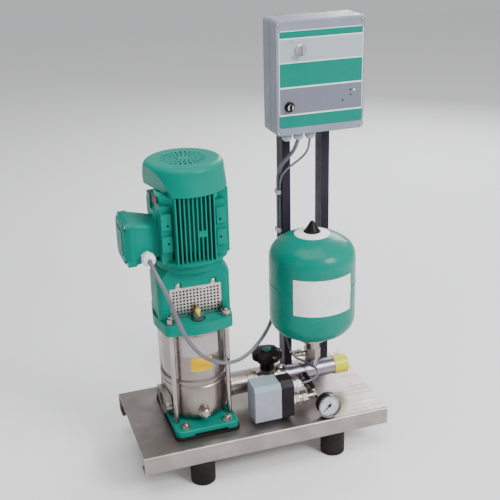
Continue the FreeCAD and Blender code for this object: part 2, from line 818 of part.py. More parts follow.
def motor_rotor():
    low = coupling_z + coupling_length / 2 + 0.5
    r = motor_shaft_radius
    core_low = motor_z + 44
    top = motor_top
    seat = r - 0.02
    return turned([(0, low), (r - 0.5, low), (r - 0.5, motor_z + 4), (seat, motor_z + 4), (seat, motor_z + 24),
                   (r + 3, motor_z + 24), (r + 3, core_low), (rotor_radius, core_low),
                   (rotor_radius, core_low + stack_length), (r + 3, core_low + stack_length), (r + 3, top - 5),
                   (seat, top - 5), (seat, top + 14), (r - 2, top + 14), (r - 2, top + 42), (0, top + 42)],
                  pump_axis)


def motor_bearings():
    return [pipe(bearing_radius, motor_shaft_radius + running_gap, bearing_width, pump_axis + V(0, 0, z))
            for z in (motor_z + 9, motor_top - 3.2)]


def fan():
    z = motor_top + 20
    hub = pipe(14, motor_shaft_radius - 1.98, 20, pump_axis + V(0, 0, z))
    disc = pipe(fan_radius - 8, 13, 2, pump_axis + V(0, 0, z))
    blades = []
    for i in range(7):
        blade = block(13, fan_radius, -1, 1, 0, 20)
        blade.rotate(V(0, 0, 0), Z_AXIS, i * 360 / 7)
        blade.translate(pump_axis + V(0, 0, z))
        blades.append(blade)
    return fused([hub, disc] + blades)


def cowl_shape(inset):
    r0 = cowl_rim_radius - inset
    r1 = cowl_top_radius - inset
    top = cowl_height - inset
    body = turned([(0, 0), (r0, 0), (r0, 3), (r1, top), (0, top)], pump_axis + V(0, 0, cowl_z))
    edge = [e for e in body.Edges if abs(e.BoundBox.ZMin - cowl_z - top) < 0.01 and len(e.Vertexes) == 1]
    body = body.makeFillet(cowl_round - inset, edge)
    # The slanting flat beside the terminal box
    turn = math.radians(180 + relief_turn)
    out = V(math.cos(turn), math.sin(turn), 0)
    slope = math.radians(relief_lean)
    normal = V(out.x * math.cos(slope), out.y * math.cos(slope), -math.sin(slope))
    cutter = Part.makeBox(80, 400, 300, V(0, -200, -150))
    start = pump_axis + out * (relief_distance - inset) + V(0, 0, cowl_z)
    cutter.Placement = FreeCAD.Placement(start, FreeCAD.Rotation(X_AXIS, normal))
    return body.cut(cutter)


def fan_cowl():
    shell = cowl_shape(0).cut(cowl_shape(cowl_sheet))
    # Rings of radial air slots in the top
    cuts = []
    for inner, outer, count in ((13, 21, 12), (24, 34, 18), (37, 50, 26)):
        for i in range(count):
            slot = block(inner, outer, -1.6, 1.6, cowl_height - 12, cowl_height + 2)
            slot.rotate(V(0, 0, 0), Z_AXIS, i * 360 / count)
            slot.translate(pump_axis + V(0, 0, cowl_z))
            cuts.append(slot)
    # Sheet arms that reach the motor's end, with the shell screwed on them
    arms = []
    for turn in (45, 135, 225, 315):
        arm = block(frame_radius + 0.3, cowl_rim_radius - 2.4, -6, 6, 1, 4)
        tab = block(frame_radius + 0.3, frame_radius + 2.3, -6, 6, -8, 4)
        arm = fused([arm, tab])
        arm.rotate(V(0, 0, 0), Z_AXIS, turn)
        arm.translate(pump_axis + V(0, 0, cowl_z))
        arms.append(arm.common(cowl_outer_zone()))
    return shell.cut(cuts).fuse(arms).removeSplitter()


def cowl_outer_zone():
    return rod(cowl_rim_radius - 1, cowl_height + 20, pump_axis + V(0, 0, cowl_z - 12))


def side_frame(x, width, height, radius):
    # A rounded rectangle in the YZ plane at x, around the middle of the terminal box
    turn = FreeCAD.Rotation(Y_AXIS, 90)
    return rounded_wire(height, width, radius, FreeCAD.Placement(V(x, line_y, terminal_mid), turn))


def terminal_outer():
    # The box widens from the motor to the lid, more in height than in width
    small = 2 * terminal_taper
    narrow = side_frame(pump_x - pad_outer, 2 * terminal_half_width - small, terminal_tall - 2 * small, 8)
    wide = side_frame(terminal_x, 2 * terminal_half_width, terminal_tall, 10)
    return Part.makeLoft([narrow, wide], True, True)


def terminal_box():
    w = terminal_half_width * 2
    h = terminal_tall
    root_x = pump_x - pad_outer
    t = terminal_wall
    small = 2 * terminal_taper
    outer = terminal_outer()
    inner = Part.makeLoft([side_frame(root_x - t, w - small - 2 * t, h - 2 * small - 2 * t, 5),
                           side_frame(terminal_x, w - 2 * t, h - 2 * t, 7)], True, True)
    hole = rod(12, t + 1, V(root_x - t - 0.5, line_y, terminal_mid), X_AXIS)
    posts = []
    for place in lug_places:
        posts.append(rod(6, 18, V(terminal_x, place.y, place.z), X_AXIS))
    body = outer.cut([inner, hole]).fuse([p.common(outer) for p in posts])
    return body.cut([rod(2, 10, V(terminal_x, place.y, place.z), X_AXIS) for place in lug_places])


def terminal_lid():
    w = terminal_half_width * 2
    h = terminal_tall
    far = terminal_x - terminal_lid_depth
    skirt = terminal_x - 10
    t = terminal_wall
    edge = side_frame(skirt, w + 2, h + 2, 11)
    lower = Part.makeLoft([side_frame(terminal_x, w + 3, h + 3, 11), edge], True, True)
    upper = Part.makeLoft([edge, side_frame(far, w - 12, h - 12, 12)], True, True)
    hollow = Part.makeLoft([side_frame(terminal_x, w - 2 * t, h - 2 * t, 7),
                            side_frame(far + t, w - 14 - 2 * t, h - 14 - 2 * t, 7)], True, True)
    # Corner lugs for the screws
    lugs = [rod(8.5, terminal_lid_depth - 6, V(place.x, place.y, place.z), X_AXIS) for place in lug_places]
    panel = rounded_block(far - 1.5, far + 1, line_y - w / 2 + 20, line_y + w / 2 - 20,
                          terminal_mid - h / 2 + 20, terminal_mid + h / 2 - 20, 5, X_AXIS)
    body = fused([lower, upper]).cut(hollow)
    body = fused([body, panel] + lugs)
    recess = [rod(6, 10, V(place.x, place.y, place.z), V(-1, 0, 0)) for place in lug_places]
    holes = [rod(2.2, 30, V(place.x, place.y, place.z), X_AXIS) for place in lug_places]
    return body.cut(recess + holes)


def terminal_board():
    x = terminal_x + 30
    board = block(x, x + 4, line_y - 24, line_y + 24, terminal_mid - 20, terminal_mid + 20)
    studs = [rod(2.2, 16, V(x - 12, line_y + sy * 14, terminal_mid + sz * 9), X_AXIS)
             for sy in (-1, 0, 1) for sz in (-1, 1)]
    feet = [block(x + 4, pump_x - pad_outer - terminal_wall, line_y + sy * 22 - 2, line_y + sy * 22 + 2,
                  terminal_mid - 4, terminal_mid + 4) for sy in (-1, 1)]
    return fused([board] + studs + feet)


motor_gland_place = V(pump_x - motor_gland_reach, line_y - terminal_half_width + 2.3, motor_z + motor_gland_z)
motor_gland_length = 24.0
switch_gland_length = 26.0
switch_right = switch_x + switch_cover_width + switch_base_width
branch = V(0, -math.cos(math.radians(branch_tilt)), -math.sin(math.radians(branch_tilt)))
switch_elbow = V(gauge_branch_x, line_y, line_z) + branch * branch_reach
switch_low = switch_elbow.z - switch_port_height
switch_gland_place = V(switch_right, switch_elbow.y + 2, switch_low + 69)
gland_drop = 23.0


def gland(start, direction, radius, length, cable_radius):
    # Locknut, hexagon and domed cap of a cable gland, along direction
    hexa = hexagon(radius * 1.8, length * 0.3, start, direction)
    ring = rod(radius * 0.86, length * 0.2, start + direction * (length * 0.3), direction)
    dome = turned([(0, length * 0.5), (radius, length * 0.5), (radius, length * 0.74),
                   (radius * 0.82, length * 0.92), (radius * 0.6, length), (0, length)], start, direction)
    mouth = rod(cable_radius + 0.7, 4, start + direction * (length - 4), direction)
    body = fused([hexa, ring, dome])
    return body.cut(mouth) if cable_radius else body


def clip(z):
    # A saddle on the post's left face that holds both cables
    x = post_left_x
    mid = post_front_y + post_depth / 2
    thick = 2 * motor_cable_radius + 0.3
    body = rounded_block(x - thick - 2.4, x, mid - 14, mid + 9, z - 4.5, z + 4.5, 2.5)
    cuts = [rod(motor_cable_radius + 0.15, 12, V(x - motor_cable_radius - 0.15, mid, z - 6)),
            block(x - motor_cable_radius, x, mid - motor_cable_radius - 0.15, mid + motor_cable_radius + 0.15,
                  z - 6, z + 6),
            rod(switch_cable_radius + 0.15, 12, V(x - switch_cable_radius - 0.15, mid - 9.5, z - 6)),
            block(x - switch_cable_radius, x, mid - 9.5 - switch_cable_radius - 0.15,
                  mid - 9.5 + switch_cable_radius + 0.15, z - 6, z + 6)]
    return body.cut(cuts)


clip_heights = [plate_top + 490, plate_top + 392]


def cable_fittings():
    # Under the box: a blind one, the motor cable's and the switch cable's
    pieces = [gland(V(x, gland_y, box_bottom), V(0, 0, -1), gland_radius, gland_drop, r)
              for x, r in zip(gland_x, (0, motor_cable_radius, switch_cable_radius))]
    motor_gland = gland(motor_gland_place, V(0, -1, 0), 15, motor_gland_length, motor_cable_radius)
    pieces.append(motor_gland.cut(terminal_outer()))
    pieces.append(gland(switch_gland_place, X_AXIS, 11, switch_gland_length, switch_cable_radius))
    # Plastic collar round the switch's port
    pieces.append(pipe(12.5, 8, switch_collar, V(switch_right, switch_elbow.y, switch_elbow.z), X_AXIS))
    pieces.extend(clip(z) for z in clip_heights)
    return pieces


check_x = outlet_x
check_end = check_x + check_length
chamber_radius = 19.0
chamber_start = check_x + 9
chamber_end = check_end - 5


def check_valve_body():
    r = tube_radius
    line = V(0, line_y, line_z)
    body = turned([(valve_bore, check_x), (r, check_x), (r, check_x + 6), (r - 1.5, check_x + 7),
                   (r - 1.5, check_end - 13), (r, check_end - 12), (r, check_end), (valve_bore, check_end),
                   (valve_bore, chamber_end), (chamber_radius, chamber_end), (chamber_radius, chamber_start),
                   (valve_bore, chamber_start)], line, X_AXIS)
    # Spider that guides the stem of the disc
    spider = pipe(5, 3.05, 4, line + V(chamber_end - 4, 0, 0), X_AXIS)
    arms = []
    for i in range(3):
        arm = block(chamber_end - 4, chamber_end, -1, 1, 4, chamber_radius + 1)
        arm.rotate(V(0, 0, 0), X_AXIS, 120 * i)
        arm.translate(line)
        arms.append(arm)
    return fused([body, spider] + arms)


def check_disc():
    x = chamber_start + 0.05
    return turned([(0, x), (check_disc_radius, x), (check_disc_radius, x + 2.5), (9.5, x + 2.5), (7, x + 4),
                   (3, x + 4), (3, chamber_end - 1), (0, chamber_end - 1)], V(0, line_y, line_z), X_AXIS)


spring_start = chamber_start + 0.05 + 2.9
spring_end = chamber_end - 4.1


def check_spring():
    height = spring_end - spring_start - 2 * spring_wire
    steps = spring_turns * 12
    points = []
    for i in range(steps + 1):
        angle = math.radians(30 * i)
        points.append(V(spring_radius * math.cos(angle), spring_radius * math.sin(angle), height * i / steps))
    path = cord_path(points)[0]
    profile = Part.Wire([Part.makeCircle(spring_wire, points[0], points[1] - points[0])])
    spring = path.makePipeShell([profile], True, False)
    return stand(spring, V(spring_start + spring_wire, line_y, line_z), X_AXIS)


valve_x = check_end + 3
ball_x = valve_x + valve_inlet
tee_x = valve_x + valve_length


def shutoff_body():
    line = V(0, line_y, line_z)
    r = valve_body_radius
    m = ball_x
    ring = pipe(r + 1.5, valve_bore, 3, line + V(check_end, 0, 0), X_AXIS)
    cavity = ball_radius + 0.1
    bore = valve_bore
    waist = valve_waist
    body = turned([(0, valve_x), (r - 2, valve_x), (r, valve_x + 2), (r, valve_x + 9), (waist, valve_x + 12),
                   (waist, tee_x - 12), (r - 2, tee_x - 9), (r - 2, tee_x), (0, tee_x)], line, X_AXIS)
    centre = V(m, line_y, line_z)
    bonnet = hexagon(bonnet_flats, knob_foot - seat_gap, centre)
    body = fused([body, bonnet])
    body = body.cut([rod(bore, valve_length, line + V(valve_x, 0, 0), X_AXIS), Part.makeSphere(cavity, centre),
                     rod(stem_radius + running_gap, knob_foot + 10, centre)])
    # Nipple from the valve to the manifold, with a screwed plug on top
    nipple = fused([rod(20, tee_length, line + V(tee_x, 0, 0), X_AXIS),
                    hexagon(44, 6, line + V(tee_x + 1, 0, 0), X_AXIS),
                    rod(plug_radius, plug_top - 4, line + V(tee_x + tee_length / 2, 0, 0))])
    cap = turned([(0, plug_top - 4), (plug_radius, plug_top - 4), (plug_radius - 2, plug_top - 1), (0, plug_top)],
                 line + V(tee_x + tee_length / 2, 0, 0))
    nipple = fused([nipple, cap]).cut(rod(bore, tee_length, line + V(tee_x, 0, 0), X_AXIS))
    return [ring, body, nipple]


def valve_ball():
    centre = V(ball_x, line_y, line_z)
    ball = Part.makeSphere(ball_radius, centre).cut(
        rod(valve_bore, 3 * ball_radius, centre - V(1.5 * ball_radius, 0, 0), X_AXIS))
    stem = rod(stem_radius, knob_foot + 16 - ball_radius + 3, centre + V(0, 0, ball_radius - 3))
    return fused([ball, stem])


def star_knob():
    centre = V(ball_x, line_y, line_z)
    foot = knob_foot
    under = knob_star
    top = knob_height
    r = knob_radius
    star = rod(r, top - under, centre + V(0, 0, under))
    notches = []
    for i in range(6):
        turn = math.radians(60 * i + 20)
        notches.append(rod(11.5, top, centre + V(math.cos(turn) * (r + 4), math.sin(turn) * (r + 4), 0)))
    star = star.cut(notches)
    dome = turned([(0, under), (knob_neck + 6, under), (r - 3, under + 3), (r, under + 7), (r, top - 10),
                   (r - 3, top - 6), (knob_neck + 3, top - 2.5), (14.5, top - 1.5), (14.5, top), (0, top)], centre)
    star = star.common(dome)
    neck = turned([(0, foot), (knob_neck - 1, foot), (knob_neck, foot + 2), (knob_neck - 1.5, under - 4),
                   (knob_neck + 6, under + 4), (0, under + 4)], centre)
    body = fused([star, neck])
    socket = rod(stem_radius + 0.02, 16, centre + V(0, 0, foot))
    return body.cut([socket, pipe(14, 12.6, 1, centre + V(0, 0, top - 1))])


manifold_x = tee_x + tee_length
manifold_end = manifold_x + manifold_length


def manifold_pipe():
    line = V(0, line_y, line_z)
    r = manifold_radius
    body = fused([rod(r, manifold_length, line + V(manifold_x, 0, 0), X_AXIS),
                  rod(collar_radius, 6, line + V(manifold_x, 0, 0), X_AXIS)])
    sockets = [rod(vessel_neck, vessel_lift - 59, V(vessel_x, line_y, line_z))]
    sockets.append(rod(branch_radius + 3.5, r + 9, V(gauge_branch_x, line_y, line_z), branch))
    body = fused([body] + sockets)
    bore = rod(r - manifold_wall, manifold_length, line + V(manifold_x, 0, 0), X_AXIS)
    drill = [rod(9, vessel_lift, V(vessel_x, line_y, line_z))]
    drill.append(rod(3, r + 9, V(gauge_branch_x, line_y, line_z), branch))
    return body.cut([bore] + drill)


def outlet_cap():
    inner = manifold_radius + 0.08
    start = V(manifold_end - cap_cover, line_y, line_z)
    outer = inner + cap_wall
    far = cap_length
    return turned([(inner, 0), (outer, 0), (outer, far - 2), (outer - 2, far), (0, far), (0, far - cap_wall),
                   (inner, far - cap_wall)], start, X_AXIS)


def vessel_outline(inset):
    # Dished ends: a knuckle arc tangent to the side and to the crown arc
    r = vessel_radius - inset
    k = vessel_knuckle - inset
    c = vessel_crown - inset
    h = vessel_height / 2 - inset
    reach = r - k
    drop = math.sqrt((c - k) ** 2 - reach ** 2)
    crown_centre = h - c
    knuckle_centre = crown_centre + drop
    lean = math.atan2(reach, drop)
    touch = (c * math.sin(lean), crown_centre + c * math.cos(lean))
    mid_crown = (c * math.sin(lean / 2), crown_centre + c * math.cos(lean / 2))
    mid_angle = (math.pi / 2 - lean) / 2
    mid_knuckle = (reach + k * math.cos(mid_angle), knuckle_centre + k * math.sin(mid_angle))
    return h, r, touch, mid_crown, mid_knuckle, knuckle_centre


def vessel_half(inset, side):
    h, r, touch, mid_crown, mid_knuckle, low = vessel_outline(inset)
    edges = [Part.Arc(V(0, 0, side * h), V(mid_crown[0], 0, side * mid_crown[1]),
                      V(touch[0], 0, side * touch[1])).toShape(),
             Part.Arc(V(touch[0], 0, side * touch[1]), V(mid_knuckle[0], 0, side * mid_knuckle[1]),
                      V(r, 0, side * low)).toShape(),
             Part.LineSegment(V(r, 0, side * low), V(r, 0, vessel_seam)).toShape(),
             Part.LineSegment(V(r, 0, vessel_seam), V(0, 0, vessel_seam)).toShape(),
             Part.LineSegment(V(0, 0, vessel_seam), V(0, 0, side * h)).toShape()]
    solid = Part.Face(Part.Wire(edges)).revolve(V(0, 0, 0), Z_AXIS, 360)
    solid.translate(V(vessel_x, line_y, vessel_z + vessel_height / 2))
    return solid


def vessel_shell():
    axis = V(vessel_x, line_y, 0)
    seam = pipe(vessel_radius + 0.9, vessel_radius - vessel_sheet, 3, axis + V(0, 0, seam_z))
    upper = vessel_half(0, 1).cut(vessel_half(vessel_sheet, 1)).fuse(seam).removeSplitter()
    lower = vessel_half(0, -1).cut(vessel_half(vessel_sheet, -1))
    lower = lower.cut(rod(10, 30, axis + V(0, 0, vessel_z - 5)))
    valve = rod(6, 16, axis + V(0, 0, vessel_z + vessel_height - 3))
    upper = fused([upper, valve])
    return [upper, lower]


def vessel_membrane():
    # Rubber bag clamped at the flange, lying against the lower half
    gap = vessel_sheet + 0.4
    outer = vessel_half(gap, -1)
    inner = vessel_half(gap + membrane_wall, -1)
    mid = V(vessel_x, line_y, seam_z)
    keep = rod(vessel_radius, seam_z - vessel_z, V(vessel_x, line_y, vessel_z - 1))
    keep = keep.cut(rod(vessel_radius, 6, mid - V(0, 0, 6)))
    wall = outer.cut(inner)
    roof = rod(vessel_radius - gap, membrane_wall, mid - V(0, 0, membrane_wall + 3))
    roof = roof.common(outer)
    return fused([wall.cut(rod(vessel_radius, 3, mid - V(0, 0, 3))), roof]).cut(
        rod(9, 40, V(vessel_x, line_y, vessel_z - 5)))


def vessel_cap():
    base = V(vessel_x, line_y, vessel_z + vessel_height - 1.2)
    body = turned([(0, 0), (cone_radius, 0), (cone_radius, 2), (cone_radius - 3, 4), (4.5, cone_height - 1.5),
                   (2.5, cone_height), (0, cone_height)], base)
    return body.cut([rod(7, 16, base), vessel_half(0, 1)])


def vessel_fitting():
    axis = V(vessel_x, line_y, 0)
    ring_z = vessel_z - 7
    hex_z = line_z + vessel_lift - 59
    ring = turned([(8.5, ring_z), (vessel_ring - 3, ring_z), (vessel_ring, ring_z + 2), (vessel_ring, ring_z + 7.5),
                   (8.5, ring_z + 7.5)], axis)
    ring = ring.cut(vessel_half(0, -1))
    neck = pipe(vessel_neck, 8.5, ring_z - hex_z - 26, axis + V(0, 0, hex_z + 27))
    hexa = hexagon(vessel_hex, 27, axis + V(0, 0, hex_z)).cut(rod(8.5, 27, axis + V(0, 0, hex_z)))
    spout = rod(6, 30, V(vessel_x - 16, line_y, hex_z + 12), V(-1, 0, 0))
    spout = spout.cut(rod(3, 31, V(vessel_x - 17, line_y, hex_z + 12), V(-1, 0, 0)))
    collar = pipe(7.5, 3, 5, V(vessel_x - 22, line_y, hex_z + 12), V(-1, 0, 0))
    boss = pipe(5, 2.6, 8, V(vessel_x - 34, line_y, hex_z + 12))
    pin_hole = rod(2.55, 12, V(vessel_x - 34, line_y, hex_z + 12))
    return fused([ring, neck, hexa, spout, collar, boss]).cut(pin_hole)


drain_x = vessel_x - 34
drain_top = line_z + vessel_lift - 59 + 20


def drain_lever():
    centre = V(drain_x, line_y, drain_top)
    hub = rod(5.5, 4, centre + V(0, 0, 0.2))
    pin = rod(2.5, 8, centre - V(0, 0, 7.8))
    arm = rounded_block(drain_x - 24, drain_x, line_y - 4, line_y + 4, drain_top + 0.7, drain_top + 3.2, 3)
    return fused([hub, pin, arm])


def switch_parts_zone():
    y0 = switch_elbow.y - switch_front
    return y0, y0 + switch_depth


def switch_cover():
    y0, y1 = switch_parts_zone()
    x1 = switch_x + switch_cover_width
    body = rounded_block(switch_x, x1, y0, y1, switch_low, switch_low + switch_height, 2.5, X_AXIS)
    b = switch_bevel
    top = switch_low + switch_height
    wedge = Part.makePolygon([V(switch_x - 1, y0 - 1, top - b), V(switch_x - 1, y0 + b, top + 1),
                              V(switch_x - 1, y0 - 1, top + 1), V(switch_x - 1, y0 - 1, top - b)])
    wedge = Part.Face(wedge).extrude(V(switch_cover_width + 2, 0, 0))
    hollow = block(switch_x + 3, x1, y0 + 3, y1 - 3, switch_low + 3, top - b - 2)
    return body.cut([wedge, hollow])


def switch_base():
    y0, y1 = switch_parts_zone()
    x0 = switch_x + switch_cover_width + 0.2
    x1 = switch_right
    low = switch_low + 1
    top = switch_low + switch_height + 3
    corners = [(y0 + 1, low), (y1 - 1, low), (y1 - 1, top - 12), (y1 - 12, top), (y0 + 13, top),
               (y0 + 1, top - 14)]
    wire = Part.makePolygon([V(x0, y, z) for y, z in corners + corners[:1]])
    body = Part.Face(wire).extrude(V(x1 - x0, 0, 0))
    bellows = rod(11, 20, V(x0, switch_elbow.y, switch_elbow.z), V(-1, 0, 0))
    frame = block(x0 - 46, x0, y0 + 14, y1 - 14, switch_low + 22, switch_low + 70)
    return fused([body, bellows, frame])


def switch_fitting():
    # Screwed into the switch: two hexagons with a round body between them, then the run to the tee
    start = V(switch_right, switch_elbow.y, switch_elbow.z)
    nut_x = V(switch_collar, 0, 0)
    body_x = nut_x + V(8, 0, 0)
    union_x = body_x + V(9, 0, 0)
    return fused([rod(7.9, switch_collar, start, X_AXIS), hexagon(27, 8, start + nut_x, X_AXIS),
                  rod(12, 9, start + body_x, X_AXIS), hexagon(27, 12, start + union_x, X_AXIS),
                  rod(branch_radius, gauge_branch_x - 12 - start.x - union_x.x, start + union_x, X_AXIS)])


gauge_normal = V(0, -math.cos(math.radians(gauge_tilt)), math.sin(math.radians(gauge_tilt)))
gauge_face = V(gauge_x, gauge_y, plate_top + gauge_lift)
gauge_back = gauge_face - gauge_normal * gauge_depth
gauge_elbow = V(gauge_branch_x, line_y, line_z) + branch * branch_reach
cock_centre = V(gauge_branch_x, line_y, line_z) + branch * 58
cock_up = V(0, branch.z, -branch.y)


def gauge_cock():
    socket = manifold_radius + 9
    start = V(gauge_branch_x, line_y, line_z) + branch * socket
    leg = rod(5, branch_reach - socket, start, branch)
    nut = hexagon(17, 9, start + branch * 1, branch)
    body = fused([rod(9, 24, cock_centre - branch * 12, branch), hexagon(18, 7, cock_centre + branch * 12, branch)])
    boss = rod(5.5, 12.5, cock_centre, cock_up)
    hole = rod(2.6, 12.5, cock_centre, cock_up)
    tee = fused([Part.makeSphere(9.4, gauge_elbow), rod(7.5, 12, gauge_elbow - branch * 12, branch),
                 rod(8, 12, gauge_elbow, V(-1, 0, 0))])
    # Stem from the elbow to the back of the gauge
    behind = gauge_back - gauge_normal * 10
    link = behind - gauge_elbow
    stem = fused([rod(6, link.Length, gauge_elbow, link.normalize()), Part.makeSphere(8, behind),
                  hexagon(14, 9.7, behind, gauge_normal)])
    return fused([leg, nut, body, boss, tee, stem]).cut(hole)


def gauge_lever():
    start = cock_centre + cock_up * 12.7
    hub = rod(6, 6, start, cock_up)
    pin = rod(2.55, 8, start, cock_up * -1)
    grips = []
    side = X_AXIS
    for turn, length in ((1, 30), (-1, 30)):
        bar = Part.makeBox(9, length, 5.5, V(-4.5, 0, 0.4))
        bar = bar.makeFillet(2, edges_along(bar, Z_AXIS))
        place = FreeCAD.Matrix(side.x, branch.x * turn, cock_up.x, start.x,
                               side.y, branch.y * turn, cock_up.y, start.y,
                               side.z, branch.z * turn, cock_up.z, start.z, 0, 0, 0, 1)
        grips.append(bar.transformGeometry(place))
    return fused([hub, pin] + grips)


def gauge_case():
    r = gauge_radius
    d = gauge_depth
    cup = turned([(0, 0), (r - 3, 0), (r - 1.2, 2), (r - 1.2, d - 6), (r, d - 5.5), (r, d - 0.5), (r - 0.6, d),
                  (r - 2.6, d), (r - 2.6, dial_height), (0, dial_height)], gauge_back, gauge_normal)
    return cup.cut(rod(1.3, 5, gauge_back + gauge_normal * (dial_height - 4), gauge_normal))


def gauge_pointer():
    # Needle at rest towards the lower left, on its spindle
    mid = gauge_back + gauge_normal * (dial_height + 1.5)
    across = X_AXIS
    up = across.cross(gauge_normal) * -1
    turn = math.radians(225)
    out = across * math.cos(turn) + up * math.sin(turn)
    wide = gauge_normal.cross(out)
    tip = mid + out * (gauge_radius * 0.66)
    tail = mid - out * (gauge_radius * 0.24)
    needle = Part.Face(Part.makePolygon([tail + wide * 2, tail - wide * 2, mid - wide * 1.4, tip - wide * 0.3,
                                         tip + wide * 0.3, mid + wide * 1.4, tail + wide * 2]))
    needle = needle.extrude(gauge_normal * 0.8)
    return fused([needle, rod(3.2, 2, mid, gauge_normal), rod(1.25, 5, mid - gauge_normal * 5, gauge_normal)])


box_right = box_left + box_width
box_top = box_bottom + box_height
lid_back = box_front + lid_depth


def front_edges(shape, y):
    return [e for e in shape.Edges if abs(e.BoundBox.YMin - y) < 0.01 and abs(e.BoundBox.YMax - y) < 0.01]


def box_base():
    t = box_wall
    outer = rounded_block(box_left, box_right, lid_back + 0.3, box_back, box_bottom, box_top, box_corner, Y_AXIS)
    inner = rounded_block(box_left + t, box_right - t, lid_back + 0.3, box_back - t, box_bottom + t, box_top - t,
                          box_corner - t, Y_AXIS)
    screws = [rod(2.5, t, V(centre.x, box_back - t, box_bottom + lift), Y_AXIS)
              for centre in post_centres for lift in (45, box_height - 45)]
    corner_posts = [rod(4.5, box_depth - lid_depth - 3, V(p.x, lid_back + 0.3, p.z), Y_AXIS)
                    for p in lid_screw_places]
    hollow = outer.cut([inner] + screws)
    posts = [p.common(outer) for p in corner_posts]
    # Narrow groove round the joint with the lid
    g = joint_depth
    groove = block(box_left - 1, box_right + 1, lid_back, lid_back + joint_width, box_bottom - 1, box_top + 1)
    groove = groove.cut(rounded_block(box_left + g, box_right - g, lid_back, lid_back + joint_width,
                                      box_bottom + g, box_top - g, box_corner - g, Y_AXIS))
    holes = [rod(1.8, 12, V(p.x, lid_back, p.z), Y_AXIS) for p in lid_screw_places]
    return fused([hollow] + posts).cut([groove] + holes)


def box_lid():
    t = box_wall
    outer = rounded_block(box_left, box_right, box_front, lid_back, box_bottom, box_top, box_corner, Y_AXIS)
    outer = outer.makeFillet(3.5, front_edges(outer, box_front))
    inner = rounded_block(box_left + t, box_right - t, box_front + t, lid_back, box_bottom + t, box_top - t,
                          box_corner - t, Y_AXIS)
    lid = outer.cut(inner)
    posts = [rod(4.5, lid_depth - 1, V(p.x, box_front + 1, p.z), Y_AXIS).common(outer)
             for p in lid_screw_places]
    lid = fused([lid] + posts)
    cuts = [rod(1.9, lid_depth, V(p.x, box_front, p.z), Y_AXIS) for p in lid_screw_places]
    cuts += [rod(4.2, 1, V(p.x, box_front, p.z), Y_AXIS) for p in lid_screw_places]
    for x, lift in ((switch_knob_x, switch_knob_lift), (selector_x, selector_lift)):
        cuts.append(rod(3 + running_gap, t, V(x, box_front, plate_top + lift), Y_AXIS))
    return lid.cut(cuts)


def circuit_board():
    y = box_back - box_wall - 12
    low = box_bottom + 40
    board = block(box_left + 24, box_right - 24, y, y + 1.6, low, low + 150)
    relays = [block(box_left + 34 + i * 30, box_left + 54 + i * 30, y - 18, y, low + 20, low + 48)
              for i in range(4)]
    legs = [rod(3, 10.4, V(x, y + 1.6, z), Y_AXIS) for x in (box_left + 32, box_right - 32)
            for z in (low + 8, low + 142)]
    transformer = block(box_left + 40, box_left + 88, y - 30, y, low + 76, low + 120)
    return fused([board, transformer] + relays + legs)


def lid_knob(x, lift, radius, length):
    out = V(0, -1, 0)
    face = V(x, box_front - seat_gap, plate_top + lift)
    body = turned([(0, 0), (radius, 0), (radius, length * 0.3), (radius - 1.5, length * 0.4),
                   (radius - 3, length), (0, length)], face, out)
    shaft = rod(3, box_wall + seat_gap + 6, face, Y_AXIS)
    return face, out, fused([body, shaft])


def main_switch():
    face, out, body = lid_knob(switch_knob_x, switch_knob_lift, 12.5, 14)
    grip = block(face.x - 3.5, face.x + 3.5, face.y - 22, face.y - 2, face.z - 11, face.z + 11)
    grip = grip.common(rod(11, 22, face, out))
    return fused([body, grip])


def selector_knob():
    face, _, body = lid_knob(selector_x, selector_lift, 11.5, 8)
    grip = block(face.x - 2.5, face.x + 2.5, face.y - 13, face.y - 2, face.z - 7, face.z + 7)
    return fused([body, grip])


def cord_path(points):
    # Straight runs joined by arcs that are as large as their two runs allow
    edges = []
    radii = []
    last = points[0]
    for i in range(1, len(points) - 1):
        before = points[i] - points[i - 1]
        after = points[i + 1] - points[i]
        a = before.Length
        b = after.Length
        u = before * (1 / a)
        w = after * (1 / b)
        turn = math.acos(max(-1, min(1, u.dot(w))))
        reach = 0.45 * min(a, b)
        radius = reach / math.tan(turn / 2)
        radii.append(radius)
        p = points[i] - u * reach
        q = points[i] + w * reach
        chord = (p + q) * 0.5
        away = points[i] - chord
        sag = radius * (1 - math.cos(turn / 2))
        mid = chord + away * (sag / away.Length)
        edges.append(Part.LineSegment(last, p).toShape())
        edges.append(Part.Arc(p, mid, q).toShape())
        last = q
    edges.append(Part.LineSegment(last, points[-1]).toShape())
    return Part.Wire(edges), radii


def cord(name, points, radius):
    path, radii = cord_path(points)
    start = (points[1] - points[0]).normalize()
    profile = Part.Wire([Part.makeCircle(radius, points[0], start)])
    tube = path.makePipeShell([profile], True, False)
    ideal = path.Length * math.pi * radius ** 2
    print(name, "length", round(path.Length), "smallest radius", round(min(radii), 1),
          "radii", [round(r) for r in radii], "volume ratio", round(tube.Volume / ideal, 4))
    return tube


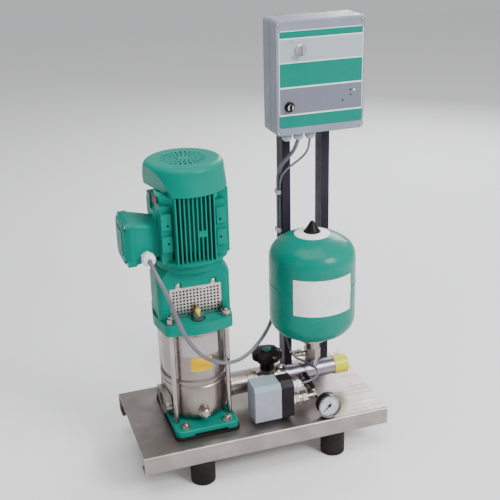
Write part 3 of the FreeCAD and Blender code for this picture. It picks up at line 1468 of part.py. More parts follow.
motor_route = [
    (-239.0, -72.7, 549.0), (-235.2, -106.5, 533.4), (-222.0, -122.1, 501.7), (-209.3, -125.5, 465.7),
    (-199.3, -125.8, 428.7), (-186.8, -124.0, 392.4), (-170.5, -121.1, 357.8), (-149.6, -114.7, 326.4),
    (-124.2, -103.7, 300.0), (-94.5, -89.7, 280.1), (-63.2, -72.5, 266.3), (-33.0, -50.2, 258.5),
    (-3.6, -25.7, 257.2), (24.6, -0.0, 261.6), (51.7, 25.8, 269.8), (76.0, 51.9, 283.9),
    (94.9, 78.9, 303.3), (108.6, 101.9, 330.6), (119.1, 116.0, 364.6), (124.8, 121.0, 402.0),
    (124.8, 121.0, 614.0), (123.1, 114.9, 637.3), (122.0, 102.7, 658.3), (127.3, 89.3, 677.8),
    (138.6, 77.4, 695.8), (149.3, 67.1, 715.1), (154.5, 62.0, 738.0)]
switch_route = [
    (183.4, 62.0, 738.0), (183.3, 66.3, 717.7), (180.2, 75.4, 699.3), (170.2, 84.8, 683.7),
    (154.8, 90.9, 671.1), (137.9, 93.7, 659.2), (126.2, 98.5, 643.2), (125.6, 106.8, 624.2),
    (126.9, 111.5, 604.0), (126.9, 111.5, 400.0), (126.9, 111.3, 375.8), (126.5, 110.1, 351.7),
    (125.4, 107.5, 327.7), (123.9, 103.8, 303.8), (122.9, 99.7, 280.0), (123.8, 95.8, 256.2),
    (126.3, 91.5, 232.5), (129.4, 85.0, 209.4), (132.1, 71.7, 189.7), (133.4, 50.0, 179.8),
    (133.7, 26.4, 183.6), (135.5, 3.9, 192.2), (141.4, -19.2, 195.3), (151.5, -41.1, 194.7),
    (154.7, -64.7, 193.6), (142.9, -85.2, 191.7), (121.1, -94.5, 189.5), (97.0, -95.1, 187.8)]


def route(points):
    return [V(*p) for p in points]


def motor_cable():
    return cord("motor_cable", route(motor_route), motor_cable_radius)


def switch_cable():
    return cord("switch_cable", route(switch_route), switch_cable_radius)


builders = [
    base_plate, rubber_feet, frame_screws, support_posts, pump_pad, pump_base, base_nuts, pump_housing,
    drain_plug, outer_sleeve, tie_rods, lantern, coupling_guards, cover_screws,
    vent_plug, vent_cap, stage_casings, impellers, pump_shaft, shaft_seal, coupling_shells, motor_frame,
    stator_core, motor_rotor, motor_bearings, fan, fan_cowl, terminal_box, terminal_lid, terminal_board,
    cable_fittings, check_valve_body, check_disc, check_spring, shutoff_body, valve_ball, star_knob,
    manifold_pipe, outlet_cap, vessel_shell, vessel_membrane, vessel_cap, vessel_fitting, drain_lever,
    switch_cover, switch_base, switch_fitting, gauge_cock, gauge_lever, gauge_case, gauge_pointer, box_base,
    box_lid, circuit_board, main_switch, selector_knob, motor_cable, switch_cable]

os.makedirs("parts", exist_ok=True)
for build in builders:
    save(build.__name__, build())
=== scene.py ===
import math

import bmesh
import bpy
from mathutils import Matrix, Vector


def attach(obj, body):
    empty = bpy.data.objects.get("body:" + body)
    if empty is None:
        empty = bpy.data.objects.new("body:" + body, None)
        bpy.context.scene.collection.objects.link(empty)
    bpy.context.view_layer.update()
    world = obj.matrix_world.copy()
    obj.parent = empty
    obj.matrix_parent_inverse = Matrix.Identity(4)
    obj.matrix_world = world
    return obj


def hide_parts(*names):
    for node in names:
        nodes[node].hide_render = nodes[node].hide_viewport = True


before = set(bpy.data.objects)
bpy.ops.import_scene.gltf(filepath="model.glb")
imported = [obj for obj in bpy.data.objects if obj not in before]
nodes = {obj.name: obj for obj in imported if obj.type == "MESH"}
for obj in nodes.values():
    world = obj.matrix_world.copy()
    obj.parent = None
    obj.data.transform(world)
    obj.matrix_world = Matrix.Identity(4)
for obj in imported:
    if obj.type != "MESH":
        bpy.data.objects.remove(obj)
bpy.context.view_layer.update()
mm = 0.001
pumpAxis = (-0.137, -0.003)
vesselAxis = (0.163, -0.003)


# camera, matched to the photo's view

cameraView = {
    "azimuth": -18.0686, "elevation": 22.7731, "roll": -1.5771,
    "place": (-0.58394, -1.82125, 1.31203), "focal": 903.46, "frame": 500.0, "sensor": 36,
}


def makeCamera(view):
    azimuth = math.radians(view["azimuth"])
    elevation = math.radians(view["elevation"])
    roll = math.radians(view["roll"])
    back = Vector((math.sin(azimuth) * math.cos(elevation), -math.cos(azimuth) * math.cos(elevation),
                   math.sin(elevation)))
    right = (-back).cross(Vector((0, 0, 1))).normalized()
    up = right.cross(-back)
    side = right * math.cos(roll) + up * math.sin(roll)
    top = up * math.cos(roll) - right * math.sin(roll)
    data = bpy.data.cameras.new("photoCamera")
    data.sensor_width = view["sensor"]
    data.lens = view["focal"] / view["frame"] * view["sensor"]
    data.clip_end = 50
    cam = bpy.data.objects.new("photoCamera", data)
    cam.matrix_world = Matrix((
        (side.x, top.x, back.x, view["place"][0]),
        (side.y, top.y, back.y, view["place"][1]),
        (side.z, top.z, back.z, view["place"][2]),
        (0, 0, 0, 1),
    ))
    bpy.context.scene.collection.objects.link(cam)
    bpy.context.scene.camera = cam


makeCamera(cameraView)
print("camera placed")


# materials

def startMaterial(name, color, roughness, metallic=0.0, coat=0.0):
    mat = bpy.data.materials.new(name)
    mat.use_nodes = True
    shader = mat.node_tree.nodes["Principled BSDF"]
    shader.inputs["Base Color"].default_value = (*color, 1)
    shader.inputs["Roughness"].default_value = roughness
    shader.inputs["Metallic"].default_value = metallic
    shader.inputs["Coat Weight"].default_value = coat
    shader.inputs["Coat Roughness"].default_value = 0.12
    return mat


def noiseIn(mat, scale, stretch=(1, 1, 1), detail=4.0):
    tree = mat.node_tree
    coords = tree.nodes.new("ShaderNodeTexCoord")
    mapping = tree.nodes.new("ShaderNodeMapping")
    mapping.inputs["Scale"].default_value = stretch
    texture = tree.nodes.new("ShaderNodeTexNoise")
    texture.inputs["Scale"].default_value = scale
    texture.inputs["Detail"].default_value = detail
    tree.links.new(coords.outputs["Object"], mapping.inputs["Vector"])
    tree.links.new(mapping.outputs["Vector"], texture.inputs["Vector"])
    return texture.outputs["Fac"]


def varyColor(mat, source, dark, light, low, high):
    tree = mat.node_tree
    ramp = tree.nodes.new("ShaderNodeValToRGB")
    ramp.color_ramp.elements[0].position = low
    ramp.color_ramp.elements[0].color = (*dark, 1)
    ramp.color_ramp.elements[1].position = high
    ramp.color_ramp.elements[1].color = (*light, 1)
    tree.links.new(source, ramp.inputs["Fac"])
    tree.links.new(ramp.outputs["Color"], tree.nodes["Principled BSDF"].inputs["Base Color"])


def varyRoughness(mat, source, low, high):
    tree = mat.node_tree
    spread = tree.nodes.new("ShaderNodeMapRange")
    spread.inputs["From Min"].default_value = 0.3
    spread.inputs["From Max"].default_value = 0.7
    spread.inputs["To Min"].default_value = low
    spread.inputs["To Max"].default_value = high
    tree.links.new(source, spread.inputs["Value"])
    tree.links.new(spread.outputs["Result"], tree.nodes["Principled BSDF"].inputs["Roughness"])


def addBump(mat, source, strength, distance):
    tree = mat.node_tree
    shader = tree.nodes["Principled BSDF"]
    bump = tree.nodes.new("ShaderNodeBump")
    bump.inputs["Strength"].default_value = strength
    bump.inputs["Distance"].default_value = distance
    if shader.inputs["Normal"].links:
        tree.links.new(shader.inputs["Normal"].links[0].from_socket, bump.inputs["Normal"])
    tree.links.new(source, bump.inputs["Height"])
    tree.links.new(bump.outputs["Normal"], shader.inputs["Normal"])


def stepAt(tree, source, edge):
    step = tree.nodes.new("ShaderNodeMath")
    step.operation = "GREATER_THAN"
    step.inputs[1].default_value = edge
    tree.links.new(source, step.inputs[0])
    return step.outputs[0]


def mixInto(mat, factor, color):
    # lays another colour over what already feeds the shader
    tree = mat.node_tree
    base = tree.nodes["Principled BSDF"].inputs["Base Color"]
    mix = tree.nodes.new("ShaderNodeMix")
    mix.data_type = "RGBA"
    mix.inputs["B"].default_value = (*color, 1)
    tree.links.new(factor, mix.inputs["Factor"])
    tree.links.new(base.links[0].from_socket, mix.inputs["A"])
    tree.links.new(mix.outputs["Result"], base)


def objectAxes(mat):
    tree = mat.node_tree
    coords = tree.nodes.new("ShaderNodeTexCoord")
    split = tree.nodes.new("ShaderNodeSeparateXYZ")
    tree.links.new(coords.outputs["Object"], split.inputs[0])
    return split.outputs


# tone and patches are the noise scales of colour and roughness
paintSkin = {
    "tone": 9, "toneLow": 0.3, "toneHigh": 0.6, "patches": 45, "smoother": 0.06, "rougher": 0.09,
    "bump": 0.5, "shine": 0.12,
}
plasticSkin = {
    "tone": 20, "toneLow": 0.35, "toneHigh": 0.65, "patches": 90, "smoother": 0.05, "rougher": 0.08,
    "bump": 0.35, "shine": 0.4,
}
metalSkin = {"tone": 14, "toneLow": 0.35, "toneHigh": 0.65, "bump": 0.3}


def addSkin(mat, skin, dark, light, roughness, grain, depth, shine):
    mat.node_tree.nodes["Principled BSDF"].inputs["Specular IOR Level"].default_value = shine
    varyColor(mat, noiseIn(mat, skin["tone"]), dark, light, skin["toneLow"], skin["toneHigh"])
    varyRoughness(mat, noiseIn(mat, skin["patches"]), roughness - skin["smoother"],
                  roughness + skin["rougher"])
    addBump(mat, noiseIn(mat, grain, detail=2), skin["bump"], depth)


def paint(name, dark, light, roughness, grain, depth, coat=0.0):
    # sprayed coat: slow change of tone, and the skin of the paint
    mat = startMaterial(name, light, roughness, coat=coat)
    addSkin(mat, paintSkin, dark, light, roughness, grain, depth, paintSkin["shine"])
    return mat


def metal(name, dark, light, smooth, rough, brush, depth=0.00003):
    # fine lines of the brush or the rolling in one direction, with cloudy patches over them
    mat = startMaterial(name, light, (smooth + rough) / 2, metallic=1.0)
    lines = noiseIn(mat, 1.0, brush, 3)
    varyColor(mat, noiseIn(mat, metalSkin["tone"], detail=3), dark, light,
              metalSkin["toneLow"], metalSkin["toneHigh"])
    varyRoughness(mat, lines, smooth, rough)
    addBump(mat, lines, metalSkin["bump"], depth)
    return mat


def plastic(name, dark, light, roughness, grain=1400, depth=0.00004, shine=plasticSkin["shine"]):
    mat = startMaterial(name, light, roughness)
    addSkin(mat, plasticSkin, dark, light, roughness, grain, depth, shine)
    return mat


green = {"dark": (0.0, 0.172, 0.128), "light": (0.0, 0.208, 0.156)}
castGreen = paint("castGreenPaint", green["dark"], green["light"], roughness=0.42, grain=420, depth=0.0006)
sheetGreen = paint("sheetGreenPaint", green["dark"], green["light"],
                   roughness=0.36, grain=1500, depth=0.00006)
vesselGreen = paint("vesselGreenPaint", green["dark"], green["light"],
                    roughness=0.3, grain=1500, depth=0.00004, coat=0.15)
plateSteel = metal("foldedPlateSteel", (0.30, 0.262, 0.245), (0.40, 0.355, 0.333),
                   smooth=0.32, rough=0.5, brush=(5, 300, 300))
sleeveSteel = metal("sleeveSteel", (0.27, 0.233, 0.218), (0.35, 0.308, 0.29),
                    smooth=0.26, rough=0.36, brush=(7, 7, 500), depth=0.000002)
pressedSteel = metal("pressedSteel", (0.25, 0.215, 0.20), (0.34, 0.30, 0.28),
                     smooth=0.28, rough=0.38, brush=(30, 30, 300), depth=0.000002)
guardSteel = metal("guardSteel", (0.44, 0.385, 0.365), (0.54, 0.485, 0.46),
                   smooth=0.25, rough=0.4, brush=(300, 40, 20))
zincPlate = metal("zincPlate", (0.42, 0.40, 0.37), (0.55, 0.53, 0.49),
                  smooth=0.2, rough=0.3, brush=(45, 45, 45), depth=0.000004)
turnedRod = metal("turnedRod", (0.32, 0.285, 0.27), (0.44, 0.40, 0.375),
                  smooth=0.18, rough=0.28, brush=(40, 40, 600), depth=0.000002)
nickelCast = metal("nickelCast", (0.32, 0.28, 0.25), (0.44, 0.39, 0.35),
                   smooth=0.26, rough=0.36, brush=(50, 50, 50), depth=0.000004)
pipeSteel = metal("pipeSteel", (0.27, 0.235, 0.29), (0.36, 0.32, 0.385),
                  smooth=0.3, rough=0.42, brush=(300, 18, 18))
brass = metal("turnedBrass", (0.50, 0.34, 0.12), (0.68, 0.48, 0.20),
              smooth=0.24, rough=0.4, brush=(300, 40, 40))
darkIron = metal("darkIron", (0.10, 0.095, 0.09), (0.2, 0.19, 0.18),
                 smooth=0.35, rough=0.55, brush=(40, 40, 1600))
silverAlloy = metal("silverAlloy", (0.62, 0.61, 0.60), (0.80, 0.79, 0.78),
                    smooth=0.2, rough=0.36, brush=(500, 500, 60))
postPaint = paint("postPaint", (0.016, 0.012, 0.022), (0.03, 0.024, 0.04),
                  roughness=0.42, grain=900, depth=0.00008)
footRubber = plastic("footRubber", (0.009, 0.007, 0.007), (0.018, 0.014, 0.014),
                     roughness=0.62, grain=500, depth=0.0002, shine=0.16)
blackPlastic = plastic("blackPlastic", (0.006, 0.004, 0.006), (0.013, 0.009, 0.014),
                       roughness=0.4, shine=0.16)
knobPlastic = plastic("knobPlastic", (0.005, 0.003, 0.004), (0.012, 0.008, 0.010),
                      roughness=0.34, grain=700, depth=0.00008, shine=0.2)
boxGrey = plastic("boxGrey", (0.205, 0.225, 0.28), (0.24, 0.262, 0.32),
                  roughness=0.42, grain=900, depth=0.00008)
switchGrey = plastic("switchGrey", (0.27, 0.285, 0.35), (0.31, 0.33, 0.39), roughness=0.38)
yellowCap = plastic("yellowCap", (0.74, 0.70, 0.0), (0.84, 0.80, 0.01),
                    roughness=0.3, grain=300, depth=0.00006)
ventYellow = plastic("ventYellow", (0.72, 0.52, 0.0), (0.80, 0.60, 0.0),
                     roughness=0.34, grain=300, depth=0.00006)
boardGreen = plastic("boardGreen", (0.01, 0.11, 0.04), (0.02, 0.2, 0.08), roughness=0.4)
cableSheath = plastic("cableSheath", (0.12, 0.115, 0.145), (0.17, 0.165, 0.20),
                      roughness=0.42, grain=700, depth=0.00008)
labelPaper = plastic("labelPaper", (0.37, 0.35, 0.35), (0.44, 0.42, 0.42),
                     roughness=0.42, grain=2200, depth=0.00002)
labelYellow = plastic("labelYellow", (0.80, 0.44, 0.0), (0.88, 0.50, 0.0),
                      roughness=0.42, grain=2200, depth=0.00002, shine=0.1)
whitePaper = plastic("vesselLabel", (0.80, 0.81, 0.82), (0.88, 0.89, 0.89),
                     roughness=0.45, grain=2200, depth=0.00002)
plateRed = paint("ratingPlate", (0.11, 0.02, 0.025), (0.16, 0.035, 0.04),
                 roughness=0.4, grain=900, depth=0.00004)


fittingTones = {
    "dark": (0.72, 0.75, 0.74), "light": (0.82, 0.85, 0.83), "boxGland": (0.42, 0.45, 0.52), "boxFrom": 0.7,
    "saddle": (0.38, 0.38, 0.40), "postDepth": 0.09, "postFrom": 0.4,
}


def makeFittingPlastic(tones):
    # white glands below, grey ones under the box, pale saddles on the post
    mat = plastic("fittingPlastic", tones["dark"], tones["light"], roughness=0.35)
    axes = objectAxes(mat)
    tree = mat.node_tree
    onPost = tree.nodes.new("ShaderNodeMath")
    onPost.operation = "MULTIPLY"
    tree.links.new(stepAt(tree, axes["Y"], tones["postDepth"]), onPost.inputs[0])
    tree.links.new(stepAt(tree, axes["Z"], tones["postFrom"]), onPost.inputs[1])
    mixInto(mat, stepAt(tree, axes["Z"], tones["boxFrom"]), tones["boxGland"])
    mixInto(mat, onPost.outputs[0], tones["saddle"])
    return mat


fittingPlastic = makeFittingPlastic(fittingTones)

# painted sky reflection: the cover's bevel and top are given a bluer colour for the sky they catch
paintedSkyOnCover = {"from": 0.1987, "color": (0.25, 0.335, 0.375)}
paintedSkyMask = stepAt(switchGrey.node_tree, objectAxes(switchGrey)["Z"], paintedSkyOnCover["from"])
mixInto(switchGrey, paintedSkyMask, paintedSkyOnCover["color"])

# painted fill light: a lighter green for the shaded gaps between the motor's fins
paintedFillInFinGaps = {"centre": pumpAxis, "radius": 0.0745, "from": 0.5562, "color": (0.0, 0.44, 0.34)}


def paintLightIntoFinGaps(mat, gaps):
    # painted fill light: the shaded gaps between the fins are painted a lighter green, inside a radius round
    # the motor, above its flange
    tree = mat.node_tree
    axes = objectAxes(mat)
    flat = tree.nodes.new("ShaderNodeCombineXYZ")
    tree.links.new(axes["X"], flat.inputs["X"])
    tree.links.new(axes["Y"], flat.inputs["Y"])
    reach = tree.nodes.new("ShaderNodeVectorMath")
    reach.operation = "DISTANCE"
    reach.inputs[1].default_value = (*gaps["centre"], 0)
    tree.links.new(flat.outputs["Vector"], reach.inputs[0])
    inside = tree.nodes.new("ShaderNodeMath")
    inside.operation = "LESS_THAN"
    inside.inputs[1].default_value = gaps["radius"]
    tree.links.new(reach.outputs["Value"], inside.inputs[0])
    above = tree.nodes.new("ShaderNodeMath")
    above.operation = "MULTIPLY"
    tree.links.new(inside.outputs[0], above.inputs[0])
    tree.links.new(stepAt(tree, axes["Z"], gaps["from"]), above.inputs[1])
    mixInto(mat, above.outputs[0], gaps["color"])


# fin paint carrying the painted fill light in its gaps
finGreen = paint("finPaintWithPaintedFill", green["dark"], green["light"], roughness=0.42, grain=420, depth=0.0006)
paintLightIntoFinGaps(finGreen, paintedFillInFinGaps)

nodeFinish = {
    "base_plate": plateSteel, "rubber_feet": footRubber, "frame_screws": zincPlate,
    "support_posts": postPaint, "pump_pad": footRubber, "pump_base": castGreen, "base_nuts": zincPlate,
    "pump_housing": pressedSteel, "drain_plug": nickelCast, "outer_sleeve": sleeveSteel,
    "tie_rods": turnedRod, "lantern": castGreen, "coupling_guards": guardSteel, "cover_screws": zincPlate,
    "vent_plug": nickelCast, "vent_cap": ventYellow, "stage_casings": pressedSteel,
    "impellers": pressedSteel, "pump_shaft": turnedRod, "shaft_seal": darkIron, "coupling_shells": darkIron,
    "motor_frame": finGreen, "stator_core": darkIron, "motor_rotor": darkIron, "motor_bearings": turnedRod,
    "fan": blackPlastic, "fan_cowl": sheetGreen, "terminal_box": castGreen, "terminal_lid": castGreen,
    "terminal_board": blackPlastic, "cable_fittings": fittingPlastic, "check_valve_body": nickelCast,
    "check_disc": brass, "check_spring": turnedRod, "shutoff_body": nickelCast, "valve_ball": brass,
    "star_knob": knobPlastic, "manifold_pipe": pipeSteel, "outlet_cap": yellowCap,
    "vessel_shell": vesselGreen, "vessel_membrane": footRubber, "vessel_cap": blackPlastic,
    "vessel_fitting": nickelCast, "drain_lever": nickelCast, "switch_cover": switchGrey,
    "switch_base": blackPlastic, "switch_fitting": nickelCast, "gauge_cock": nickelCast,
    "gauge_lever": blackPlastic, "gauge_case": blackPlastic, "gauge_pointer": blackPlastic,
    "box_base": boxGrey, "box_lid": boxGrey, "circuit_board": boardGreen, "main_switch": silverAlloy,
    "selector_knob": blackPlastic, "motor_cable": cableSheath, "switch_cable": cableSheath,
}

for nodeName, mat in nodeFinish.items():
    cadObject = nodes[nodeName]
    for slot in cadObject.material_slots:
        slot.material = mat
print("materials given to", len(nodeFinish), "nodes")


# cables, routes in mm

motorCable = {
    "diameter": 0.009, "length": 1.079, "exit": (-0.239, -0.0727, 0.549),
    "route": [
        (-239, -72.7, 549), (-235.2, -106.5, 533.4), (-222, -122.1, 501.7), (-209.3, -125.5, 465.7),
        (-199.3, -125.8, 428.7), (-186.8, -124, 392.4), (-170.5, -121.1, 357.8), (-149.6, -114.7, 326.4),
        (-124.2, -103.7, 300), (-94.5, -89.7, 280.1), (-63.2, -72.5, 266.3), (-33, -50.2, 258.5),
        (-3.6, -25.7, 257.2), (24.6, -0, 261.6), (51.7, 25.8, 269.8), (76, 51.9, 283.9), (94.9, 78.9, 303.3),
        (108.6, 101.9, 330.6), (119.1, 116, 364.6), (124.8, 121, 402), (124.8, 121, 614),
        (123.1, 114.9, 637.3), (122, 102.7, 658.3), (127.3, 89.3, 677.8), (138.6, 77.4, 695.8),
        (149.3, 67.1, 715.1), (154.5, 62, 738),
    ],
}
switchCable = {
    "diameter": 0.0052, "length": 0.798, "exit": (0.1834, 0.062, 0.738),
    "route": [
        (183.4, 62, 738), (183.3, 66.3, 717.7), (180.2, 75.4, 699.3), (170.2, 84.8, 683.7),
        (154.8, 90.9, 671.1), (137.9, 93.7, 659.2), (126.2, 98.5, 643.2), (125.6, 106.8, 624.2),
        (126.9, 111.5, 604), (126.9, 111.5, 400), (126.9, 111.3, 375.8), (126.5, 110.1, 351.7),
        (125.4, 107.5, 327.7), (123.9, 103.8, 303.8), (122.9, 99.7, 280), (123.8, 95.8, 256.2),
        (126.3, 91.5, 232.5), (129.4, 85, 209.4), (132.1, 71.7, 189.7), (133.4, 50, 179.8),
        (133.7, 26.4, 183.6), (135.5, 3.9, 192.2), (141.4, -19.2, 195.3), (151.5, -41.1, 194.7),
        (154.7, -64.7, 193.6), (142.9, -85.2, 191.7), (121.1, -94.5, 189.5), (97, -95.1, 187.8),
    ],
}


def makeCable(name, node, cable):
    data = bpy.data.curves.new(name, "CURVE")
    data.dimensions = "3D"
    data.bevel_depth = cable["diameter"] / 2
    data.bevel_resolution = 6
    data.resolution_u = 8
    data.use_fill_caps = True
    spline = data.splines.new("NURBS")
    spline.points.add(len(cable["route"]) - 1)
    for point, place in zip(spline.points, cable["route"]):
        point.co = (place[0] * mm, place[1] * mm, place[2] * mm, 1)
    spline.order_u = 3
    spline.use_endpoint_u = True
    obj = bpy.data.objects.new(name, data)
    bpy.context.scene.collection.objects.link(obj)
    data.materials.append(cableSheath)
    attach(obj, "set")
    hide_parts(node)


makeCable("motorCable", "motor_cable", motorCable)
makeCable("switchCable", "switch_cable", switchCable)
print("cables laid")


# helpers for new pieces

sharpEdge = math.radians(35)


def pieceFrom(bm, name, mat, body):
    bmesh.ops.remove_doubles(bm, verts=bm.verts, dist=1e-6)
    bmesh.ops.recalc_face_normals(bm, faces=bm.faces)
    for face in bm.faces:
        face.smooth = True
    for edge in bm.edges:
        edge.smooth = len(edge.link_faces) == 2 and edge.calc_face_angle(0) < sharpEdge
    data = bpy.data.meshes.new(name)
    bm.to_mesh(data)
    bm.free()
    obj = bpy.data.objects.new(name, data)
    bpy.context.scene.collection.objects.link(obj)
    data.materials.append(mat)
    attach(obj, body)


def spun(profile, steps=64):
    # (radius, height) points spun about Z: a ring where the profile keeps off the axis
    bm = bmesh.new()
    ring = [bm.verts.new((r, 0, h)) for r, h in profile]
    edges = [bm.edges.new((a, b)) for a, b in zip(ring, ring[1:])]
    if profile[0][0] > 0 and profile[-1][0] > 0:
        edges.append(bm.edges.new((ring[-1], ring[0])))
    bmesh.ops.spin(bm, geom=ring + edges, cent=(0, 0, 0), axis=(0, 0, 1), angle=2 * math.pi, steps=steps,
                   use_merge=True)
    return bm


def place(bm, where, normal=(0, 0, 1)):
    turn = Vector((0, 0, 1)).rotation_difference(Vector(normal)).to_matrix().to_4x4()
    bmesh.ops.transform(bm, matrix=Matrix.Translation(Vector(where)) @ turn, verts=bm.verts)
    return bm


labelGrid = {"across": 36, "up": 24}


def curvedLabel(name, label, mat):
    # a thin patch bent round an upright cylinder, with rounded corners
    bm = bmesh.new()
    wide = (label["to"] - label["from"]) * label["radius"]
    tall = label["high"] - label["low"]
    bmesh.ops.create_grid(bm, x_segments=labelGrid["across"], y_segments=labelGrid["up"], size=0.5)
    for vert in bm.verts:
        vert.co = (vert.co.x * wide, vert.co.y * tall, 0)
    corners = [v for v in bm.verts if len(v.link_faces) == 1]
    bmesh.ops.bevel(bm, geom=corners, offset=label["corner"], segments=4, affect="VERTICES", profile=0.5,
                    material=-1)
    for vert in bm.verts:
        angle = (label["from"] + label["to"]) / 2 + vert.co.x / label["radius"]
        height = (label["low"] + label["high"]) / 2 + vert.co.y
        # the paper swells where it passes over the vessel's weld
        swell = label["swell"] * math.exp(-((height - label["seam"]) / label["seamWidth"]) ** 2)
        reach = label["radius"] + swell
        vert.co = (label["centre"][0] + math.cos(angle) * reach,
                   label["centre"][1] + math.sin(angle) * reach, height)
    bmesh.ops.recalc_face_normals(bm, faces=bm.faces)
    outward = 0
    for face in bm.faces:
        middle = face.calc_center_median()
        outward += face.normal.dot(middle - Vector((*label["centre"], middle.z)))
    if outward < 0:
        bmesh.ops.reverse_faces(bm, faces=bm.faces)
    bmesh.ops.solidify(bm, geom=bm.faces[:], thickness=label["thick"])
    pieceFrom(bm, name, mat, "set")


# labels, left bare

deg = math.pi / 180
sleeveLabel = {
    "centre": pumpAxis, "radius": 0.0753, "from": -124.5 * deg, "to": -55.5 * deg,
    "low": 0.2995, "high": 0.3505, "corner": 0.002, "thick": -0.0002,
    "swell": 0, "seam": 0, "seamWidth": 0.012,
}
sleeveNote = {
    "centre": pumpAxis, "radius": 0.0753, "from": -109.4 * deg, "to": -71.6 * deg,
    "low": 0.2625, "high": 0.297, "corner": 0.001, "thick": -0.0002,
    "swell": 0, "seam": 0, "seamWidth": 0.012,
}
vesselLabel = {
    "centre": vesselAxis, "radius": 0.1033, "from": -137 * deg, "to": -53.5 * deg,
    "low": 0.3595, "high": 0.450, "corner": 0.002, "thick": -0.0002,
    "swell": 0.0009, "seam": 0.4095, "seamWidth": 0.012,
}
curvedLabel("sleeveLabel", sleeveLabel, labelPaper)
curvedLabel("sleeveNote", sleeveNote, labelYellow)
curvedLabel("vesselLabel", vesselLabel, whitePaper)

# white disc round the cap, domed like the vessel's crown
vesselDisc = {
    "radius": 0.042, "hole": 0.012, "crown": 0.150, "top": 0.533,
    "lift": 0.00005, "thick": 0.0006, "rings": 8,
}


def makeVesselDisc(disc):
    low = []
    high = []
    for i in range(disc["rings"] + 1):
        r = disc["hole"] + (disc["radius"] - disc["hole"]) * i / disc["rings"]
        z = disc["top"] - disc["crown"] + math.sqrt(disc["crown"] ** 2 - r * r)
        low.append((r, z + disc["lift"]))
        high.append((r, z + disc["thick"]))
    bm = spun(low + high[::-1])
    place(bm, (*vesselAxis, 0))
    pieceFrom(bm, "vesselDisc", whitePaper, "set")


makeVesselDisc(vesselDisc)
print("labels made")


# foil on the lid of the control box

foilWhite = (0.72, 0.78, 0.78)
foilGreen = (0.0, 0.195, 0.148)
foilDark = (0.165, 0.175, 0.225)
foilPale = (0.37, 0.42, 0.47)

# each band starts at a share of the foil's height
lidFoil = {
    "left": 0.094, "right": 0.294, "low": 0.779, "high": 0.993, "face": 0.020,
    "corner": 0.006, "thick": 0.0004, "sunk": 0.00005, "border": 0.0014, "borderFrom": 0.128,
    "shine": 0.15, "smooth": 0.26, "rough": 0.4, "grain": 1600, "depth": 0.00003,
    "bands": [
        (0.0, foilGreen), (0.128, foilWhite), (0.142, foilDark), (0.414, foilWhite), (0.428, foilGreen),
        (0.670, foilWhite), (0.683, foilPale), (0.914, foilWhite), (0.924, foilGreen), (0.990, foilWhite),
    ],
}


def makeFoilMaterial(foil):
    mat = startMaterial("lidFoil", foilPale, 0.32)
    tree = mat.node_tree
    tree.nodes["Principled BSDF"].inputs["Specular IOR Level"].default_value = foil["shine"]
    axes = objectAxes(mat)
    spread = tree.nodes.new("ShaderNodeMapRange")
    spread.inputs["From Min"].default_value = foil["low"]
    spread.inputs["From Max"].default_value = foil["high"]
    ramp = tree.nodes.new("ShaderNodeValToRGB")
    ramp.color_ramp.interpolation = "CONSTANT"
    for i, (position, color) in enumerate(foil["bands"]):
        stop = ramp.color_ramp.elements[i] if i < 2 else ramp.color_ramp.elements.new(position)
        stop.position = position
        stop.color = (*color, 1)
    tree.links.new(axes["Z"], spread.inputs["Value"])
    tree.links.new(spread.outputs["Result"], ramp.inputs["Fac"])
    tree.links.new(ramp.outputs["Color"], tree.nodes["Principled BSDF"].inputs["Base Color"])
    # white edge down both sides, above the lowest band
    offCentre = tree.nodes.new("ShaderNodeMath")
    offCentre.operation = "SUBTRACT"
    offCentre.inputs[1].default_value = (foil["left"] + foil["right"]) / 2
    tree.links.new(axes["X"], offCentre.inputs[0])
    away = tree.nodes.new("ShaderNodeMath")
    away.operation = "ABSOLUTE"
    tree.links.new(offCentre.outputs[0], away.inputs[0])
    edge = tree.nodes.new("ShaderNodeMath")
    edge.operation = "MULTIPLY"
    tree.links.new(stepAt(tree, away.outputs[0], (foil["right"] - foil["left"]) / 2 - foil["border"]),
                   edge.inputs[0])
    tree.links.new(stepAt(tree, spread.outputs["Result"], foil["borderFrom"]), edge.inputs[1])
    mixInto(mat, edge.outputs[0], foilWhite)
    varyRoughness(mat, noiseIn(mat, 60), foil["smooth"], foil["rough"])
    addBump(mat, noiseIn(mat, foil["grain"], detail=2), 0.3, foil["depth"])
    return mat


def makeFoil(foil):
    bm = bmesh.new()
    bmesh.ops.create_grid(bm, x_segments=1, y_segments=1, size=0.5)
    wide = foil["right"] - foil["left"]
    tall = foil["high"] - foil["low"]
    for vert in bm.verts:
        vert.co = ((foil["left"] + foil["right"]) / 2 + vert.co.x * wide, foil["face"] - foil["sunk"],
                   (foil["low"] + foil["high"]) / 2 + vert.co.y * tall)
    bmesh.ops.bevel(bm, geom=bm.verts[:], offset=foil["corner"], segments=6, affect="VERTICES", profile=0.5,
                    material=-1)
    out = bmesh.ops.extrude_face_region(bm, geom=bm.faces[:])
    moved = [g for g in out["geom"] if isinstance(g, bmesh.types.BMVert)]
    bmesh.ops.translate(bm, verts=moved, vec=(0, -foil["thick"], 0))
    pieceFrom(bm, "lidFoil", makeFoilMaterial(foil), "set")


makeFoil(lidFoil)

# name, x, z, colour and glow of each lamp
lampRow = {
    "radius": 0.0021, "depth": 0.0195, "lamps": [
        ("lampBlue", 0.274, 0.851, (0.45, 0.85, 1.0), 0.8), ("lampDark", 0.265, 0.852, (0.05, 0.04, 0.05), 0),
        ("lampRed", 0.266, 0.841, (0.12, 0.03, 0.04), 0), ("lampBlack", 0.246, 0.830, (0.03, 0.02, 0.04), 0),
    ],
}


